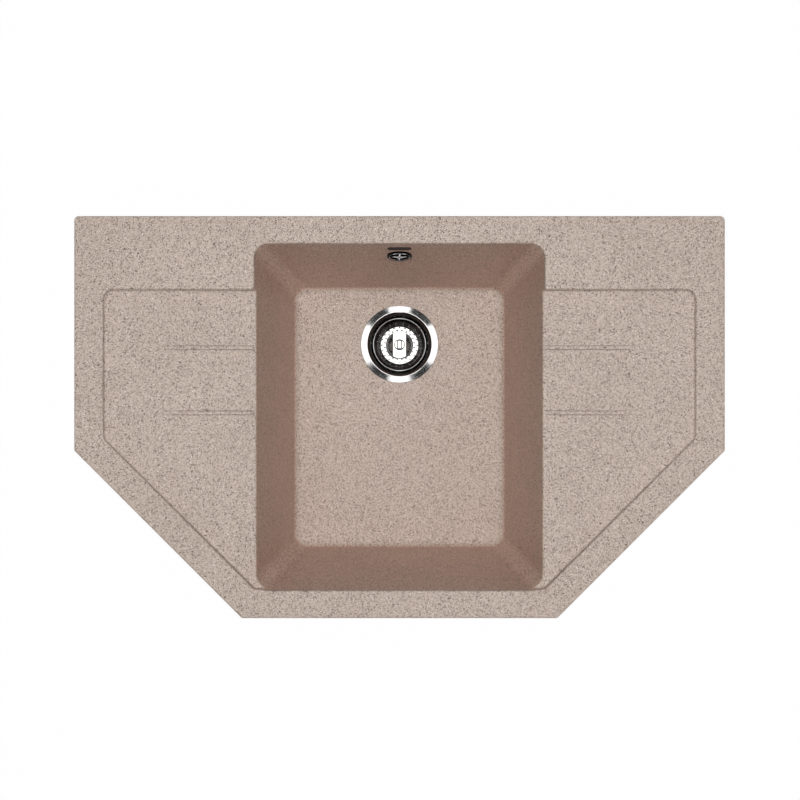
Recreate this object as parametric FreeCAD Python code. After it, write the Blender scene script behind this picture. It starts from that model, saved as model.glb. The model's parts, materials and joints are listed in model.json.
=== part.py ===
import FreeCAD, Part
import math
import os

os.makedirs("parts", exist_ok=True)

# Corner kitchen sink: one drafted bowl between two drainer wings, dropped into a worktop.
# Origin: middle of the sink outline, on the top plane of the worktop. +Z up, +Y to the back wall.
# All lengths in millimetres, all angles in degrees.

# ---- outline and rim ----
outline_width = 825.0
outline_depth = 510.0
front_edge_length = 400.0     # straight front edge between the two 45 degree edges
back_corner_radius = 6.0
blunt_corner_radius = 3.0     # where the straight edges meet the 45 degree edges
rim_thickness = 10.0
rim_edge_radius = 3.0
rim_under_chamfer = 1.0

# ---- recessed drainer wings ----
recess_side_strip = 37.2      # rim strip left standing at both sides
back_deck_depth = 93.6        # the deck behind the wings, from the back edge
recess_corner_radius = 12.0
recess_outer_depth = 5.8      # below the rim top, at the outer end of a wing
recess_inner_depth = 10.0     # below the rim top, at the bowl
recess_top_rounding = 2.6
recess_foot_rounding = 2.8
wing_thickness = 9.0
wing_outline_margin = 8.0     # the thick underside reaches this far past the recess

# ---- drainer ribs ----
rib_width = 5.0
rib_distances = (73.0, 156.0)  # from the back edge of a wing
rib_height_at_bowl = 2.8
rib_start_gap = 3.0           # from the bowl edge
rib_rounding = 0.8

# ---- bowl ----
bowl_half_width = 184.5
bowl_end_strip = 34.8         # rim strip before and behind the bowl
bowl_depth = 200.0            # rim top to the floor at the drain
floor_fall = 2.5
floor_pan_margin = 0.5        # between the cove and the start of the fall
floor_pan_corner = 12.0
wall_lean = 9.52              # walls lean in towards the floor
bowl_top_corner = 18.0
bowl_foot_corner = 20.0
bowl_cove = 12.0
wing_edge_rounding = 2.8      # where a wing meets the bowl
wall_thickness = 9.0
floor_thickness = 10.0
bowl_outer_rounding = 14.0

# ---- drain hole ----
drain_back_distance = 113.7   # drain axis to the back edge of the bowl
drain_hole_radius = 45.0
drain_seat_radius = 58.5
drain_seat_depth = 1.5
drain_boss_margin = 4.0       # flat boss under the floor, past the waste flange

# ---- overflow hole and blank plate in the back wall ----
overflow_depth = 47.5         # rim top to the hole centre, measured straight down
overflow_hole_radius = 14.5
overflow_pad_margin = 2.0     # flat pad behind the wall, past the elbow flange
plate_depth = 20.5            # rim top to the plate centre
plate_width = 31.0
plate_height = 10.0
plate_thickness = 1.0
plate_pocket_depth = 0.5
plate_clearance = 0.3

# ---- blind tap places under the deep back deck ----
tap_place_gap = 52.5          # from the side of the bowl
tap_place_inset = 46.0        # from the back edge of the sink
tap_place_radius = 17.5
tap_place_depth = 4.0

# ---- stiffening ribs under the wings ----
stiffener_distances = (49.4, 221.4)  # from the back edge of a wing
stiffener_width = 7.0
stiffener_height = 8.0
stiffener_end_gap = 14.0      # short of the edge of the thick underside
stiffener_end_rounding = 5.6
tray_edge_radius = 4.0

# ---- sealing tape under the rim ----
tape_inset = 2.5
tape_width = 8.0
tape_thickness = 1.5
tape_clearance = 0.4

# ---- fixing clamps ----
clamp_back_gap = 82.5         # back studs, from the sides of the outline
clamp_side_gap = 195.0        # side studs, from the back edge of the outline
clamp_inset = 40.0            # from the outline to the stud
clamp_diagonal_shift = 10.0   # along the 45 degree edge, away from its middle
boss_radius = 11.0
boss_bottom_z = -14.0
insert_radius = 4.5
insert_length = 12.0
insert_flange_radius = 6.5
insert_flange_height = 1.0
insert_bond_gap = 0.2         # resin gap between an insert and the moulding
insert_bevel = 0.4
insert_groove = 0.5
stud_radius = 3.0
stud_end_gap = 1.0            # the stud stops short of the end of its insert
stud_length = 84.0
stud_thread_pitch = 2.5
stud_thread_depth = 0.35
stud_end_chamfer = 0.8
stud_fit_clearance = 0.05
arm_thickness = 2.0
arm_width = 18.0
arm_reach = 33.0
arm_tail = 9.0
arm_step = 7.0
arm_hole_clearance = 0.08
arm_bend_start = 0.42         # bends, as shares of the reach
arm_bend_end = 0.62
arm_tail_roundness = 0.6
arm_tooth_height = 1.5
arm_rest_z = -66.0            # underside of an arm before tightening
arm_seat_gap = 0.05
nut_flats = 10.0
nut_height = 5.0
nut_collar_radius = 7.0
nut_collar_height = 1.2

# ---- strainer cup ----
cup_sheet = 1.2
cup_flange_radius = 56.5
cup_flange_tilt = 8.5         # degrees, the flange falls from its crown to its edge
cup_crown_radius = 48.5       # end of the rounding between throat and flange
cup_edge_width = 0.5          # the edge of the flange is turned down to the seal
cup_edge_drop = 0.2
cup_throat_drop = 6.0         # floor to the end of the throat rounding
cup_foot_rounding = 3.0
cup_throat_radius = 47.0
cup_wall_top_radius = 42.0
cup_wall_foot_radius = 40.5
cup_depth = 36.0              # floor to the inside of the cup bottom
cup_outlet_radius = 17.5
cup_hub_radius = 7.0
cup_spoke_width = 4.0
cup_collar_drop = 9.0         # outlet collar below the cup bottom, down to the hub
cup_bolt_hole_radius = 3.3
flange_gasket_thickness = 1.0
flange_gasket_outer = cup_flange_radius - 1.0
flange_gasket_inner = 49.5

# ---- waste body below the floor ----
body_gasket_thickness = 3.0
body_gasket_inner = 47.0
body_flange_radius = 58.0
body_flange_thickness = 4.0
body_wall = 3.0
body_bell_radius = 48.5       # inside of the bell around the cup
body_bell_depth = 27.0        # from the flange top down to the start of the funnel
body_funnel_depth = 17.0
outlet_radius = 23.9
outlet_bore_radius = 20.0
outlet_length = 34.0
outlet_thread_pitch = 3.2
outlet_thread_depth = 0.8
outlet_plain_end = 2.0
outlet_collar_radius = 25.4   # shoulder above the outlet thread
outlet_collar_height = 3.0
outlet_relief = 1.0           # plain groove between shoulder and thread
outlet_end_chamfer = 0.6
body_web_thickness = 3.0
body_web_height = 12.0
body_web_rise = 2.0           # from the foot of the hub
body_hub_radius = 8.0
body_hub_height = 18.0
body_hub_top_gap = 2.0        # between the cup hub and the body hub
inlet_reach = 76.0            # drain axis to the end of the side inlet
inlet_drop = 33.0             # floor to the axis of the side inlet
bolt_radius = 3.0
bolt_head_radius = 6.0
bolt_head_height = 3.4
bolt_slot_width = 1.4
bolt_slot_depth = 1.6
bolt_length = 14.0
bolt_thread_pitch = 2.0
bolt_insert_radius = 4.6
bolt_insert_length = 11.0

# ---- basket ----
basket_sheet = 1.0
basket_rim_radius = 38.7
basket_rim_depth = 6.5        # floor to the top of the rolled rim
basket_rim_roll = 1.0
basket_cone_top = 37.3
basket_cone_foot = 28.6
basket_plateau_depth = 24.5
basket_dome_radius = 19.0
basket_dome_edge = 1.0        # the ball shape ends this far inside the dome radius
basket_dome_foot = 2.0        # height and width of the hollow at the foot of the dome
basket_bend = 1.5             # width of the bend between plateau and wall
basket_bend_dip = 0.4
basket_rim_lip = 0.6          # the rolled rim reaches out this far
basket_rim_curl = 3.0         # height of the rolled rim
basket_dome_depth = 13.5      # floor to the top of the dome
basket_hole_radius = 1.3
basket_hole_count = 20
basket_hole_rings = ((22.2, 9.0), (26.3, 0.0), (31.2, 9.0))
stem_radius = 2.5
stem_collar_radius = 5.0
stem_bevel = 0.5
stem_end = 0.6                # stem end below its nut
stem_clearance = 0.1
knob_radius = 8.0
knob_height = 5.0
knob_neck_radius = 5.0
knob_neck_height = 2.0
knob_bar_width = 6.0
knob_bar_length = 12.0
knob_bar_height = 2.2
knob_edge_rounding = 1.2
knob_bar_rounding = 0.8
knob_roof = 1.5               # material above the stem inside the knob
seal_radius = 21.0
seal_thickness = 4.0
seal_lip = 1.0
seal_foot_width = 1.5         # ring of the seal that touches the cup
seal_foot_slope = 1.5
seal_relief = 0.6             # how far the rest of its underside stays clear
seal_pocket_gap = 0.2
seal_shoulder = 4.0
stem_nut_flats = 8.0
stem_nut_height = 4.0
stem_washer_radius = 9.0
stem_washer_thickness = 1.0

# ---- overflow ----
rosette_radius = 16.5
rosette_thickness = 2.6
rosette_ring_width = 3.6
rosette_bar_width = 3.6
rosette_bar_tilt = 5.5
rosette_hub_radius = 5.0
rosette_spigot_radius = 13.6
rosette_spigot_wall = 1.6
rosette_spigot_length = 7.0
rosette_edge_rounding = 1.1
rosette_bar_rounding = 0.7
rosette_bar_drop = 0.5        # bars lie this far below the ring face
thread_clearance = 0.05       # between a screw thread and the bore that holds it
screw_radius = 2.5
screw_head_radius = 4.2
screw_head_height = 2.2
screw_length = 21.0
screw_thread_pitch = 1.6
screw_hole_gap = 0.2
screw_cross_length = 5.4
screw_cross_width = 1.0
screw_cross_depth = 1.0
overflow_gasket_thickness = 2.0
overflow_gasket_inner = 15.5
overflow_gasket_inset = 1.0
elbow_flange_radius = 21.0
elbow_flange_thickness = 3.0
elbow_chamber_radius = 15.5
elbow_chamber_depth = 15.5
elbow_wall = 2.2
elbow_back_rounding = 2.0
elbow_outlet_reach = 11.8     # elbow outlet axis behind the back edge of the bowl
elbow_outlet_end_z = -73.0
spout_radius = 10.0           # elbow outlet and waste inlet share one size
spout_bore_radius = 8.0
elbow_hub_radius = 5.0
elbow_insert_radius = 3.8
elbow_insert_length = 8.0
elbow_insert_depth = 2.0      # below the elbow face
elbow_hub_depth = 2.0
pipe_radius = 9.5
pipe_bore_radius = 8.0
pipe_bend_radius = 30.0
union_nut_radius = 14.0
union_nut_length = 16.0
union_nut_flutes = 18
union_nut_flute_radius = 1.4
union_nut_flute_depth = 0.6
union_nut_rounding = 1.2
union_nut_lap = 8.0           # how far a nut reaches over its spout
union_nut_shoulder = 3.0
union_seal_gap = 0.15
pipe_clearance = 0.3
union_thread_clearance = 0.4

# ---- places that follow from the values above ----
rim_top_z = rim_thickness
floor_z = rim_top_z - bowl_depth
floor_under_z = floor_z - floor_thickness
half_width = outline_width / 2.0
corner_cut = half_width - front_edge_length / 2.0  # leg of each 45 degree corner
half_depth = outline_depth / 2.0
bowl_half_length = half_depth - bowl_end_strip
recess_back_y = half_depth - back_deck_depth
drain_y = bowl_half_length - drain_back_distance
elbow_outlet_y = bowl_half_length + elbow_outlet_reach
tap_place_x = bowl_half_width + tap_place_gap
tap_place_y = half_depth - tap_place_inset
lean_slope = math.tan(math.radians(wall_lean))
lean_cos = math.cos(math.radians(wall_lean))
root_half = math.sqrt(0.5)
drain = FreeCAD.Vector(0, drain_y, 0)
TALL = 1000.0                 # longer than the sink, for cutting bodies
OVER = 20.0                   # how far a cutting body runs past a surface
LAP = 1.0                     # how far two joined bodies run into each other
EPS = 0.01
TURN_HALF = math.tan(math.radians(22.5))

parts = {}


def vec(x, y, z=0.0):
    return FreeCAD.Vector(x, y, z)


def rounded_wire(points, radii, z):
    """Closed wire at height z: straight runs joined by a tangent arc at every corner."""
    edges = []
    count = len(points)
    starts = []
    ends = []
    mids = []
    for i in range(count):
        here = vec(points[i][0], points[i][1], z)
        before = vec(points[i - 1][0], points[i - 1][1], z)
        after = vec(points[(i + 1) % count][0], points[(i + 1) % count][1], z)
        to_before = (before - here).normalize()
        to_after = (after - here).normalize()
        half_angle = to_before.getAngle(to_after) / 2.0
        reach = radii[i] / math.tan(half_angle)
        middle = (to_before + to_after).normalize()
        centre = here + middle * (radii[i] / math.sin(half_angle))
        starts.append(here + to_before * reach)
        ends.append(here + to_after * reach)
        mids.append(centre - middle * radii[i])
    for i in range(count):
        edges.append(Part.Arc(starts[i], mids[i], ends[i]).toShape())
        edges.append(Part.makeLine(ends[i], starts[(i + 1) % count]))
    return Part.Wire(edges)


def prism(wire, height):
    return Part.Face(wire).extrude(vec(0, 0, height))


def revolved(points, at=None):
    """Solid of revolution about Z from (r, z) points; a point with 4 numbers is an arc
    given as (middle r, middle z, end r, end z)."""
    edges = []
    last = vec(points[0][0], 0, points[0][1])
    first = last
    for point in points[1:]:
        end = vec(point[-2], 0, point[-1])
        if len(point) == 4:
            edges.append(Part.Arc(last, vec(point[0], 0, point[1]), end).toShape())
        else:
            edges.append(Part.makeLine(last, end))
        last = end
    if (last - first).Length > EPS:
        edges.append(Part.makeLine(last, first))
    solid = Part.Face(Part.Wire(edges)).revolve(vec(0, 0), vec(0, 0, 1), 360)
    if at is not None:
        solid.translate(at)
    return solid


def tube(outer, inner, height, z=0.0):
    body = Part.makeCylinder(outer, height, vec(0, 0, z))
    return body.cut(Part.makeCylinder(inner, height + 2, vec(0, 0, z - 1)))


def hexagon(flats, height, z=0.0):
    across = flats / math.sqrt(3.0)
    corners = [vec(across * math.cos(math.radians(60 * i)), across * math.sin(math.radians(60 * i)), z)
               for i in range(7)]
    return Part.Face(Part.makePolygon(corners)).extrude(vec(0, 0, height))


def threaded_rod(radius, length, pitch, depth, chamfer):
    """Rod along +Z from 0 with ring shaped thread grooves and chamfered ends."""
    root = radius - depth
    points = [(0, 0), (radius - chamfer, 0), (radius, chamfer)]
    z = chamfer
    while z + pitch < length - chamfer:
        points.append((root, z + pitch * 0.5))
        points.append((radius, z + pitch))
        z += pitch
    points.append((radius, length - chamfer))
    points.append((radius - chamfer, length))
    points.append((0, length))
    return revolved(points)


def edges_at_height(shape, z, keep=lambda edge: True):
    found = []
    for edge in shape.Edges:
        box = edge.BoundBox
        if abs(box.ZMin - z) < EPS and abs(box.ZMax - z) < EPS and keep(edge):
            found.append(edge)
    return found


def on_back_wall(shape, depth):
    """Move a piece drawn with +Z towards the bowl and +Y up onto the leaning back wall."""
    wall_y = bowl_half_length - lean_slope * depth
    turn = FreeCAD.Rotation(vec(1, 0, 0), 90.0 - wall_lean)
    placed = shape.copy()
    wall_place = FreeCAD.Placement(vec(0, wall_y, rim_top_z - depth), turn)
    placed.Placement = wall_place.multiply(shape.Placement)
    return placed


def keep(name, shape):
    solid = shape.removeSplitter()
    solids = solid.Solids
    assert len(solids) == 1, name + " is %d solids" % len(solids)
    assert solid.isValid(), name + " is not valid"
    parts[name] = solids[0]


def keep_group(name, shapes):
    parts[name] = Part.makeCompound(shapes)


# ---- outlines ----
def sink_corners(inset):
    """The six corners of the sink outline, moved in by an even inset, front left first."""
    side = half_width - inset
    edge = half_depth - inset
    # the 45 degree edge moves in by the inset, so its two corners slide by tan(22.5 degrees)
    slide = inset * TURN_HALF
    front_x = half_width - corner_cut - slide
    side_y = -half_depth + corner_cut + slide
    return [(-front_x, -edge), (front_x, -edge), (side, side_y), (side, edge),
            (-side, edge), (-side, side_y)]


def sink_wire(inset, z):
    back = max(back_corner_radius - inset, 1.0)
    blunt = blunt_corner_radius
    return rounded_wire(sink_corners(inset), [blunt, blunt, blunt, back, back, blunt], z)


def recess_corners(margin):
    """Outline of both wings together; its 45 degree edges run into the front corners of the bowl."""
    side = half_width - recess_side_strip + margin
    side_y = -half_depth + corner_cut + recess_side_strip * TURN_HALF
    back = recess_back_y + margin
    # the front edge falls on the bowl wall at the depth of the wings
    bowl_front = bowl_half_sizes(recess_inner_depth)[1]
    front = -bowl_front - margin
    shift = margin * TURN_HALF
    front_x = half_width - recess_side_strip - (side_y + bowl_front)
    return [(-front_x - shift, front), (front_x + shift, front), (side, side_y - shift), (side, back),
            (-side, back), (-side, side_y - shift)]


def recess_wire(margin, z):
    radius = recess_corner_radius + margin
    return rounded_wire(recess_corners(margin), [radius] * 6, z)


def bowl_half_sizes(depth, margin=0.0):
    shrink = lean_slope * depth
    return (bowl_half_width - shrink + margin, bowl_half_length - shrink + margin)


def bowl_wire(depth, margin=0.0, radius=bowl_top_corner):
    half_x, half_y = bowl_half_sizes(depth, margin)
    corners = [(-half_x, -half_y), (half_x, -half_y), (half_x, half_y), (-half_x, half_y)]
    return rounded_wire(corners, [radius] * 4, rim_top_z - depth)


# ---- the moulded sink ----
def wing_cutter():
    """Space above both wings: a floor on each side that falls towards the bowl."""
    wire = recess_wire(0.0, -TALL / 4)
    space = prism(wire, TALL / 2)
    side = half_width - recess_side_strip
    low = rim_top_z - recess_inner_depth
    high = rim_top_z - recess_outer_depth
    top = rim_top_z + OVER
    # the two sloping floors run on over the bowl, so no crease is left beside its edge
    over_x = bowl_half_width - 2 * OVER
    over_z = low - 2 * OVER * (high - low) / (side - bowl_half_width)
    section = [vec(-side, -TALL / 2, high), vec(-over_x, -TALL / 2, over_z),
               vec(over_x, -TALL / 2, over_z), vec(side, -TALL / 2, high),
               vec(side + LAP, -TALL / 2, high), vec(side + LAP, -TALL / 2, top),
               vec(-side - LAP, -TALL / 2, top), vec(-side - LAP, -TALL / 2, high),
               vec(-side, -TALL / 2, high)]
    above = Part.Face(Part.makePolygon(section)).extrude(vec(0, TALL, 0))
    cutter = space.common(above)
    foot = []
    for edge in cutter.Edges:
        box = edge.BoundBox
        crease = abs(abs(box.Center.x) - over_x) < EPS and box.XLength < EPS
        upright = box.XLength < EPS and box.ZLength > 1.0
        if box.ZMax < rim_top_z and not crease and not upright:
            foot.append(edge)
    return cutter.makeFillet(recess_foot_rounding, foot)


def bowl_cutter():
    flat_depth = bowl_depth - floor_fall
    loft = Part.makeLoft([bowl_wire(-OVER / 4), bowl_wire(flat_depth, 0.0, bowl_foot_corner)], True, True)
    foot = edges_at_height(loft, rim_top_z - flat_depth)
    return loft.makeFillet(bowl_cove, foot)


def floor_pan_cutter():
    """The floor falls from its four sides to the rim of the drain seat."""
    flat_depth = bowl_depth - floor_fall
    half_x, half_y = bowl_half_sizes(flat_depth)
    inset = bowl_cove * (1.0 - math.sin(math.radians(wall_lean))) / lean_cos + floor_pan_margin
    half_x -= inset
    half_y -= inset
    top_z = rim_top_z - flat_depth
    radius = floor_pan_corner
    rim_edges = []
    seat_edges = []
    corners = [(1, 1), (-1, 1), (-1, -1), (1, -1)]
    outer_points = []
    for sx, sy in corners:
        cx = sx * (half_x - radius)
        cy = sy * (half_y - radius)
        first = (cx + sx * radius, cy)
        last = (cx, cy + sy * radius)
        middle = (cx + sx * radius * root_half, cy + sy * radius * root_half)
        if sx * sy < 0:
            first, last = last, first
        outer_points.append((first, middle, last))
    # arcs of the seat circle that face the four corners, in degrees
    angles = [(18, 72), (108, 162), (198, 252), (288, 342)]
    for index in range(4):
        first, middle, last = outer_points[index]
        following = outer_points[(index + 1) % 4][0]
        rim_edges.append(Part.Arc(vec(*first, top_z), vec(*middle, top_z), vec(*last, top_z)).toShape())
        rim_edges.append(Part.makeLine(vec(*last, top_z), vec(*following, top_z)))
        start, stop = angles[index]
        next_start = angles[(index + 1) % 4][0] + (360 if index == 3 else 0)
        for a0, a1 in ((start, stop), (stop, next_start)):
            ring = []
            for angle in (a0, (a0 + a1) / 2.0, a1):
                ring.append(vec(drain_seat_radius * math.cos(math.radians(angle)),
                                drain_y + drain_seat_radius * math.sin(math.radians(angle)), floor_z))
            seat_edges.append(Part.Arc(*ring).toShape())
    pan = Part.makeLoft([Part.Wire(rim_edges), Part.Wire(seat_edges)], True, True)
    lid = prism(Part.Wire(rim_edges), LAP)
    return [pan, lid]


def drainer_ribs():
    """Raised ribs with level tops, so they fade out where the wing rises to meet them."""
    ribs = []
    low = rim_top_z - recess_inner_depth
    wing_length = half_width - recess_side_strip - bowl_half_width
    wing_slope = (recess_inner_depth - recess_outer_depth) / wing_length
    # the level top meets the rising wing here, and the end is buried a little past it
    rib_run = rib_height_at_bowl / wing_slope - rib_start_gap + OVER
    for side in (-1, 1):
        for distance in rib_distances:
            rib_y = recess_back_y - distance
            start = bowl_half_width + rib_start_gap
            if side > 0:
                x_low = start
            else:
                x_low = -start - rib_run
            bottom = low - rib_height_at_bowl
            rib = Part.makeBox(rib_run, rib_width, low + rib_height_at_bowl - bottom,
                               vec(x_low, rib_y - rib_width / 2, bottom))
            rounded = []
            for edge in rib.Edges:
                box = edge.BoundBox
                along_top = box.ZMin > low and box.XLength > rib_run / 2
                end_upright = box.ZLength > 1.0 and abs(abs(box.Center.x) - start) < EPS
                if along_top or end_upright:
                    rounded.append(edge)
            ribs.append(rib.makeFillet(rib_rounding, rounded))
    return ribs


def wing_stiffeners():
    """Ribs under the wings from the bowl wall out towards the rim."""
    ribs = []
    under_z = rim_top_z - recess_inner_depth - wing_thickness
    length = half_width - recess_side_strip + wing_outline_margin - stiffener_end_gap - bowl_half_width
    for side in (-1, 1):
        for distance in stiffener_distances:
            rib_y = recess_back_y - distance
            x_low = bowl_half_width if side > 0 else -bowl_half_width - length
            rib = Part.makeBox(length, stiffener_width, stiffener_height + LAP,
                               vec(x_low, rib_y - stiffener_width / 2, under_z - stiffener_height))
            outer_x = side * (bowl_half_width + length)
            rounded = [edge for edge in rib.Edges
                       if abs(edge.BoundBox.Center.x - outer_x) < EPS and edge.BoundBox.ZMax < under_z]
            ribs.append(rib.makeFillet(stiffener_end_rounding, rounded))
    return ribs


def clamp_places():
    """Stud positions with the outward direction of each, as (x, y, outward angle)."""
    middle_x = half_width - corner_cut / 2.0
    middle_y = -half_depth + corner_cut / 2.0
    step = clamp_inset * root_half
    along = clamp_diagonal_shift * root_half
    diagonal_x = middle_x - step - along
    diagonal_y = middle_y + step - along
    back_x = half_width - clamp_back_gap
    side_x = half_width - clamp_inset
    side_y = half_depth - clamp_side_gap
    places = [(-back_x, half_depth - clamp_inset, 90.0),
              (back_x, half_depth - clamp_inset, 90.0),
              (side_x, side_y, 0.0),
              (diagonal_x, diagonal_y, -45.0),
              (-diagonal_x, diagonal_y, -135.0),
              (-side_x, side_y, 180.0)]
    return places


def make_sink_body():
    slab = prism(sink_wire(0.0, 0.0), rim_thickness)
    slab = slab.makeFillet(rim_edge_radius, edges_at_height(slab, rim_thickness))
    slab = slab.makeChamfer(rim_under_chamfer, edges_at_height(slab, 0.0))

    under_z = rim_top_z - recess_inner_depth - wing_thickness
    tray = prism(recess_wire(wing_outline_margin, under_z), -under_z + LAP)
    tray = tray.makeFillet(tray_edge_radius, edges_at_height(tray, under_z))

    depth_bottom = rim_top_z - floor_under_z
    outer = Part.makeLoft([bowl_wire(rim_top_z, wall_thickness, bowl_top_corner + wall_thickness),
                           bowl_wire(depth_bottom, wall_thickness, bowl_foot_corner + wall_thickness)],
                          True, True)
    outer = outer.makeFillet(bowl_outer_rounding, edges_at_height(outer, floor_under_z))

    bosses = []
    for x, y, angle in clamp_places():
        bosses.append(Part.makeCylinder(boss_radius, -boss_bottom_z + LAP, vec(x, y, boss_bottom_z)))
    seat_boss = Part.makeCylinder(body_flange_radius + drain_boss_margin, floor_thickness,
                                  vec(0, drain_y, floor_under_z))
    wall_pad = on_back_wall(Part.makeCylinder(elbow_flange_radius + overflow_pad_margin,
                                              -overflow_outer_face(), vec(0, 0, overflow_outer_face())),
                            overflow_depth)
    body = slab.fuse([tray, outer, seat_boss, wall_pad] + bosses + wing_stiffeners())

    body = body.cut(wing_cutter())
    body = body.fuse(drainer_ribs())
    body = body.cut([bowl_cutter()] + floor_pan_cutter())

    seat = Part.makeCylinder(drain_seat_radius, drain_seat_depth + floor_fall + LAP,
                             vec(0, drain_y, floor_z - drain_seat_depth))
    hole = Part.makeCylinder(drain_hole_radius, 2 * OVER, vec(0, drain_y, floor_under_z - OVER / 2))
    wall_hole = on_back_wall(Part.makeCylinder(overflow_hole_radius, 2 * OVER, vec(0, 0, -OVER)),
                             overflow_depth)
    pocket = on_back_wall(blank_plate_shape(plate_clearance, OVER / 4, -plate_pocket_depth), plate_depth)
    cuts = [seat, hole, wall_hole, pocket]
    for side in (-1, 1):
        cuts.append(Part.makeCylinder(tap_place_radius, tap_place_depth,
                                      vec(side * tap_place_x, tap_place_y, 0)))
    for x, y, angle in clamp_places():
        cuts.append(Part.makeCylinder(insert_radius + insert_bond_gap, insert_length,
                                      vec(x, y, boss_bottom_z)))
        cuts.append(Part.makeCylinder(insert_flange_radius + insert_bond_gap, insert_flange_height,
                                      vec(x, y, boss_bottom_z)))
    groove = prism(sink_wire(tape_inset, 0.0), tape_thickness)
    groove = groove.cut(prism(sink_wire(tape_inset + tape_width, -LAP), tape_thickness + 2 * LAP))
    cuts.append(groove)
    return body.cut(cuts)


def soften_edges(body):
    """Small rounding where the wings meet the bowl, and where bowl and recess cut the rim."""
    corners = []
    for edge in body.Edges:
        box = edge.BoundBox
        near_x = abs(abs(box.Center.x) - bowl_half_sizes(recess_inner_depth)[0]) < 2 * LAP
        near_y = abs(box.Center.y - recess_back_y) < LAP
        if near_x and near_y and box.ZLength > LAP and box.ZMin > -LAP:
            corners.append(edge)
    # the rounding runs on from the upright corners along both edges between wing and bowl
    body = body.makeFillet(wing_edge_rounding, corners)
    rim_lines = []
    for edge in edges_at_height(body, rim_top_z):
        box = edge.BoundBox
        inside_x = max(abs(box.XMin), abs(box.XMax)) < half_width - recess_side_strip / 2
        inside_y = max(abs(box.YMin), abs(box.YMax)) < half_depth - recess_side_strip / 2
        if inside_x and inside_y:
            rim_lines.append(edge)
    return body.makeFillet(recess_top_rounding, rim_lines)


def blank_plate_shape(margin, thickness, z):
    half_w = plate_width / 2 + margin
    half_h = plate_height / 2 + margin
    corners = [(-half_w, -half_h), (half_w, -half_h), (half_w, half_h), (-half_w, half_h)]
    return prism(rounded_wire(corners, [half_h - 0.2] * 4, z), thickness)


# ---- waste fitting ----
def make_strainer_cup():
    base = floor_z - drain_seat_depth + flange_gasket_thickness
    top = base + cup_sheet
    slope = math.tan(math.radians(cup_flange_tilt))
    edge_start = cup_flange_radius - cup_edge_width
    crown_end = top - cup_edge_drop + slope * (edge_start - cup_crown_radius)
    crown = crown_end + slope * (cup_crown_radius - cup_throat_radius) / 2
    crown_mid_r = (cup_crown_radius + cup_throat_radius) / 2
    crown_mid_z = crown - (crown - crown_end) / 4
    inner_floor = floor_z - cup_depth
    under_floor = inner_floor - cup_sheet
    wall_top = floor_z - cup_throat_drop
    foot = cup_foot_rounding
    foot_mid = foot * (1.0 - root_half)
    # middle of the throat arc, on the quarter ellipse between the wall and the flange
    throat_mid_r = cup_wall_top_radius + (cup_throat_radius - cup_wall_top_radius) * (1.0 - root_half)
    throat_mid_z = wall_top + (crown - wall_top) * root_half
    hub_top = cup_hub_z()
    collar_outer = cup_outlet_radius + cup_sheet
    profile = [(cup_outlet_radius, hub_top), (cup_outlet_radius, inner_floor - 0.5),
               (cup_outlet_radius + 0.5, inner_floor),
               (cup_wall_foot_radius - foot, inner_floor),
               (cup_wall_foot_radius - foot_mid, inner_floor + foot_mid,
                cup_wall_foot_radius, inner_floor + foot),
               (cup_wall_top_radius, wall_top),
               (throat_mid_r, throat_mid_z, cup_throat_radius, crown),
               (crown_mid_r, crown_mid_z, cup_crown_radius, crown_end),
               (edge_start, top - cup_edge_drop),
               (cup_flange_radius, base),
               (cup_throat_radius, base),
               (throat_mid_r + cup_sheet * 0.75, throat_mid_z - cup_sheet * 0.85,
                cup_wall_top_radius + cup_sheet, wall_top),
               (cup_wall_foot_radius + cup_sheet, inner_floor + foot),
               (cup_wall_foot_radius + cup_sheet - foot_mid, under_floor + foot_mid + cup_sheet * 0.3,
                cup_wall_foot_radius - foot * 0.8, under_floor),
               (collar_outer, under_floor), (collar_outer, hub_top - cup_sheet),
               (cup_outlet_radius, hub_top - cup_sheet)]
    cup = revolved(profile, drain)
    hub = Part.makeCylinder(cup_hub_radius, cup_sheet, vec(0, drain_y, hub_top - cup_sheet))
    spokes = []
    for index in range(4):
        spoke = Part.makeBox(cup_outlet_radius + cup_sheet / 2, cup_spoke_width, cup_sheet,
                             vec(0, -cup_spoke_width / 2, 0))
        spoke.rotate(vec(0, 0), vec(0, 0, 1), 45 + 90 * index)
        spoke.translate(vec(0, drain_y, hub_top - cup_sheet))
        spokes.append(spoke)
    cup = cup.fuse([hub] + spokes)
    return cup.cut(Part.makeCylinder(cup_bolt_hole_radius, OVER, vec(0, drain_y, hub_top - OVER / 2)))


def ring_at_drain(outer, inner, height, z):
    ring = tube(outer, inner, height, z)
    ring.translate(drain)
    return ring


def body_heights():
    top = floor_under_z - body_gasket_thickness
    bell = top - body_bell_depth
    funnel = bell - body_funnel_depth
    end = funnel - outlet_length
    return top, bell, funnel, end


def cup_hub_z():
    """Top of the hub in the outlet collar of the cup; the centre bolt head sits on it."""
    return floor_z - cup_depth - cup_collar_drop


def body_hub_top_z():
    return cup_hub_z() - cup_sheet - body_hub_top_gap


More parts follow.
